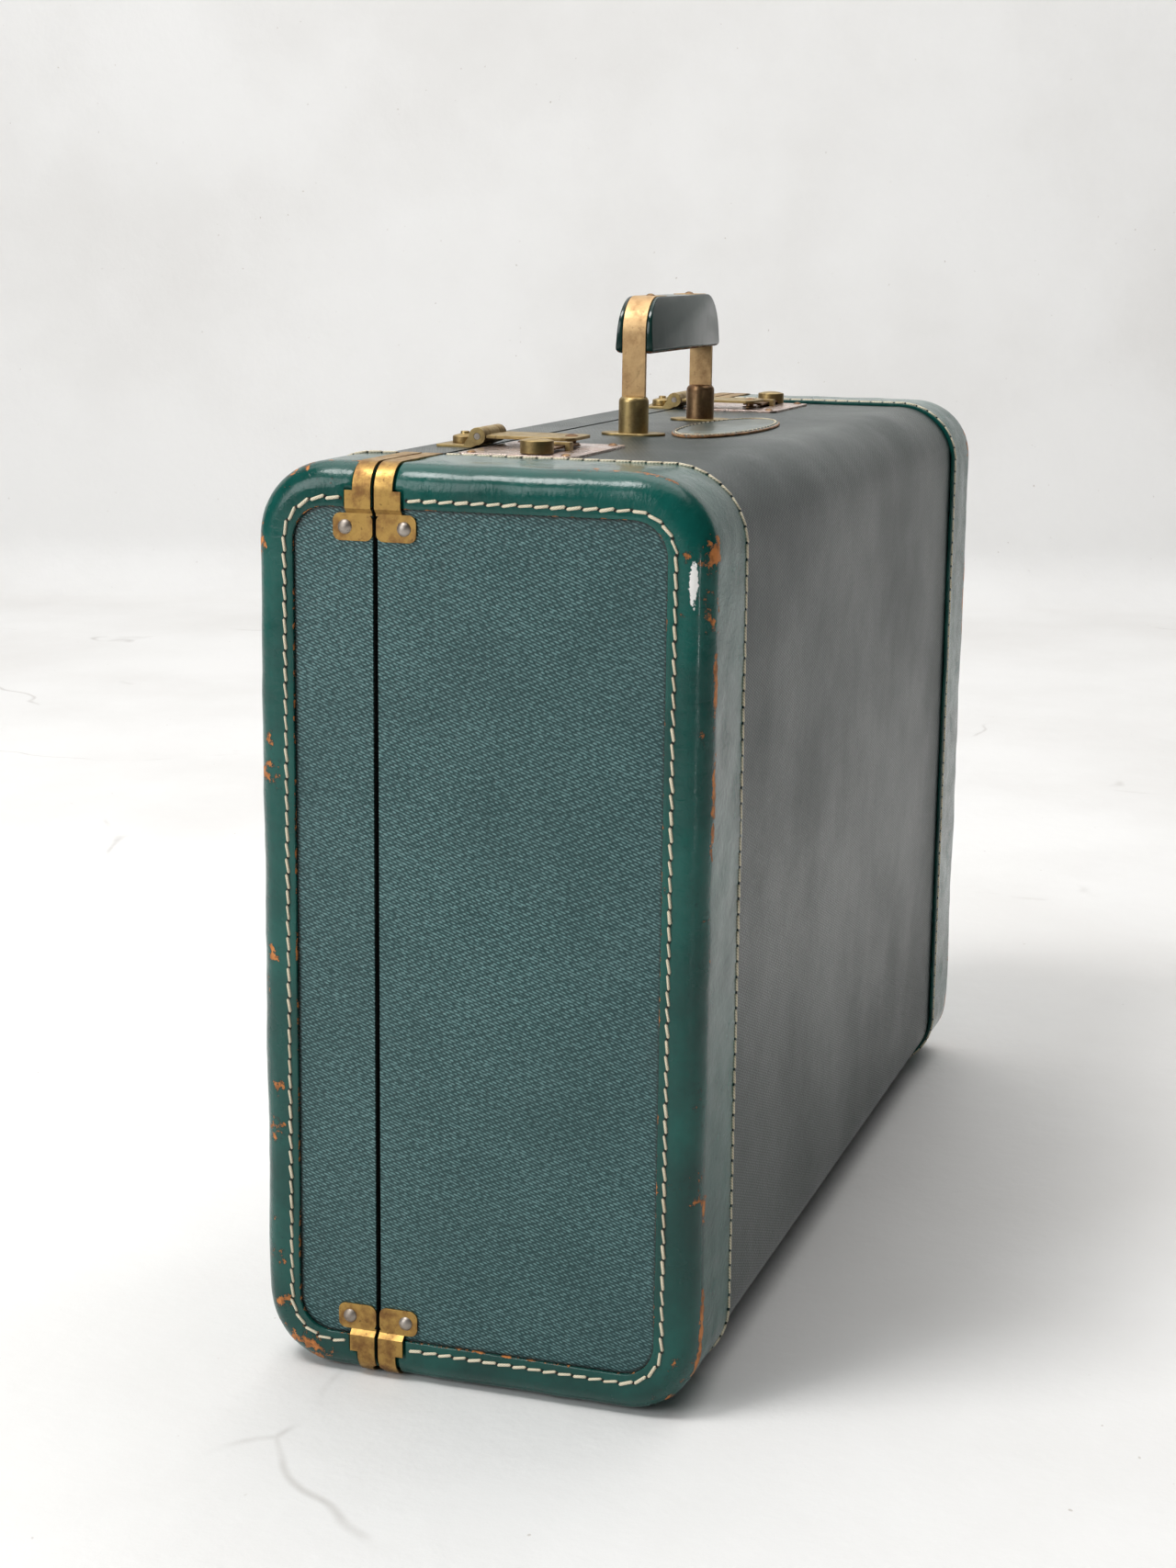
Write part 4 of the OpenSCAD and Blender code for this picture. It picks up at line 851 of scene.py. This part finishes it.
# Handle: two flat brass straps, riveted over a leather grip, that slide in slotted brass posts.
# The grip is a stiff core wrapped in dark green leather; pins under the deck keep the straps in.
softened("handle_base_flanges", "handle_flanges", "base", olive_brass, edge=0.0002)
for end in ("near", "far"):
    softened(f"handle_slot_post_{end}", f"handle_post_{end}", "base",
             olive_brass if end == "near" else dull_brass, edge=0.0003)
    softened(f"handle_strap_{end}", f"strap_{end}", "handle", satin_brass, edge=0.0002)
softened("handle_rivet_heads", "strap_rivets", "handle", dull_brass, edge=0.0001)
softened("handle_stop_pins", "stop_pins", "handle", rivet_steel, edge=0.0001)
grip_hide = leather_looks("grip_hide", dark=(0.004, 0.024, 0.020), light=(0.007, 0.040, 0.033),
                          raw=(0.20, 0.07, 0.03), gloss=0.13, creased=0.3)
low, high = (Vector(corner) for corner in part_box("grip"))
middle_y = (low.y + high.y) / 2
lean = math.radians(4.35)
channel_wide = 0.01035
channel_deep = 0.0021
channel_end = 0.0217
top_round = 0.015
foot_round = 0.0022
grip_edge = 0.0005
raw_foot = 0.0012
bpy.ops.mesh.primitive_cube_add(size=1)
grip = bpy.context.object
edit(grip)
bpy.ops.mesh.select_all(action="SELECT")
bpy.ops.transform.resize(value=high - low)
bpy.ops.transform.translate(value=(low + high) / 2)
pick(grip, "EDGE", lambda middle, along: abs(along.y) > 0.9 and middle.z > high.z - 0.001)
bpy.ops.mesh.bevel(offset=top_round, segments=14, affect="EDGES")
for side, face_y in ((-1, low.y), (1, high.y)):
    pick(grip, "VERT", lambda middle, facing: (middle.y - middle_y) * side > 0.001)
    bpy.ops.transform.rotate(value=-side * lean, orient_axis="X", center_override=(0, face_y, low.z))
pick(grip, "EDGE", lambda middle, along: middle.z < low.z + 0.001)
bpy.ops.mesh.bevel(offset=foot_round, segments=5, affect="EDGES")
for side in (-1, 1):
    pick(grip, "FACE", lambda middle, facing: abs(facing.y) < 0.3)
    bpy.ops.mesh.bisect(plane_co=(0, middle_y + side * channel_wide / 2, 0), plane_no=(0, 1, 0))
    pick(grip, "FACE", lambda middle, facing: facing.z > 0.9 and abs(middle.y - middle_y) < channel_wide / 2)
    bpy.ops.mesh.bisect(plane_co=(side * channel_end, 0, 0), plane_no=(1, 0, 0))
pick(grip, "FACE", lambda middle, facing: abs(facing.y) < 0.3 and abs(middle.y - middle_y) < channel_wide / 2
     and abs(middle.x) > channel_end and facing.z > -0.75)
bpy.ops.mesh.extrude_region_shrink_fatten(TRANSFORM_OT_shrink_fatten={"value": -channel_deep})
edit()
apply(grip, "BEVEL", width=grip_edge, segments=3, limit_method="ANGLE", angle_limit=sharp_above)
bpy.ops.object.shade_smooth_by_angle(angle=smooth_below)
grip.data.materials.append(grip_hide)
finish_piece(grip, "handle_leather_grip", "handle", "grip")
map_points(grip, "hide", lambda point: (point.x, point.z))
rub = grip.data.attributes.new("rub", "FLOAT", "POINT")
for point in grip.data.vertices:
    rub.data[point.index].value = 0.8 if point.co.z < low.z + raw_foot else 0.0


# Oval patch: a bare leather reinforcement sewn to the deck between the handle and the edge.
# Thin leather, its green gone grey, with a pared tan edge and cream stitches close to it.
patch_hide = leather_looks("patch_hide", dark=(0.10, 0.13, 0.115), light=(0.17, 0.20, 0.18),
                           raw=(0.42, 0.22, 0.10), gloss=0.3)
patch_stitches = 64
patch_margin = 0.002
pared_wide = 0.0007
pared_from = 0.975
patch = softened("deck_leather_patch", "oval_patch", "base", patch_hide, edge=0.0004)
edit(patch)
pick(patch, "FACE", lambda middle, facing: facing.z > 0.99)
bpy.ops.mesh.inset(thickness=pared_wide)
edit()
map_points(patch, "hide", lambda point: (point.x, point.y))
patch_low, patch_high = (Vector(corner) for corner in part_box("oval_patch"))
patch_middle = (patch_low + patch_high) / 2
half_x, half_y = (patch_high.x - patch_low.x) / 2, (patch_high.y - patch_low.y) / 2
reach_x, reach_y = half_x - patch_margin, half_y - patch_margin
row = []
for index in range(patch_stitches):
    angle = math.tau * index / patch_stitches
    place = Vector((patch_middle.x + reach_x * math.cos(angle), patch_middle.y + reach_y * math.sin(angle),
                    patch_high.z))
    along = Vector((-reach_x * math.sin(angle), reach_y * math.cos(angle), 0)).normalized()
    row.append((place, along, Vector((0, 0, 1))))
rub = patch.data.attributes.new("rub", "FLOAT", "POINT")
for point in patch.data.vertices:
    out = math.hypot((point.co.x - patch_middle.x) / half_x, (point.co.y - patch_middle.y) / half_y)
    rub.data[point.index].value = 1.0 if out > pared_from else 0.0
sew("deck_patch_stitches", "base", row, scale=0.7)
bpy.data.objects.remove(hole)
bpy.data.objects.remove(stitch)


# Hinges: two small steel butts let into the bottom along the split, riveted through the boards.
# The leaves are folded round a pin so that the lid swings clear of the base.
softened("hinge_base_leaves", "hinge_leaves_base", "base", rivet_steel, edge=0.0001)
softened("hinge_lid_leaves", "hinge_leaves_lid", "lid", rivet_steel, edge=0.0001)
softened("hinge_hidden_pins", "hinge_pins", "base", rivet_steel, edge=0.0001)
softened("hinge_base_rivets", "hinge_rivets_base", "base", rivet_steel, edge=0.0001)
softened("hinge_lid_rivets", "hinge_rivets_lid", "lid", rivet_steel, edge=0.0001)


# Lining: plain woven cotton pasted into both halves over thin card, cream gone brown in blotches.
# The valance is a narrow strip of the same card that stands up inside the base and enters the lid.
lining, tree, shader = new_material("woven_lining")
place = put(tree, "TexCoord").outputs["Object"]
turns = put(tree, "VectorMath", {"operation": "SCALE"}, in_0=place, Scale=5600.0).outputs[0]
threads = put(tree, "VectorMath", {"operation": "SINE"}, in_0=turns).outputs[0]
split = put(tree, "SeparateXYZ", in_0=threads)
woven = math_of(tree, "ADD", math_of(tree, "MULTIPLY", split.outputs[0], split.outputs[2]), split.outputs[1])
slub = noise_of(tree, 240.0, 4)
stain = noise_of(tree, 8.0, 6, 0.6)
colour = blend_of(tree, step_of(tree, woven, -1.0, 1.2), (0.30, 0.27, 0.19), (0.52, 0.48, 0.36))
colour = blend_of(tree, step_of(tree, slub, 0.5, 0.8, 0, 0.4), colour, (0.60, 0.55, 0.42))
colour = blend_of(tree, step_of(tree, stain, 0.5, 0.75, 0, 0.5), colour, (0.24, 0.17, 0.10))
feed(tree, shader.inputs["Base Color"], colour)
feed(tree, shader.inputs["Roughness"], 0.88)
bump_of(tree, shader, woven, 0.0001)
dress(lining, "base_lining", "lid_lining", "base_valance")
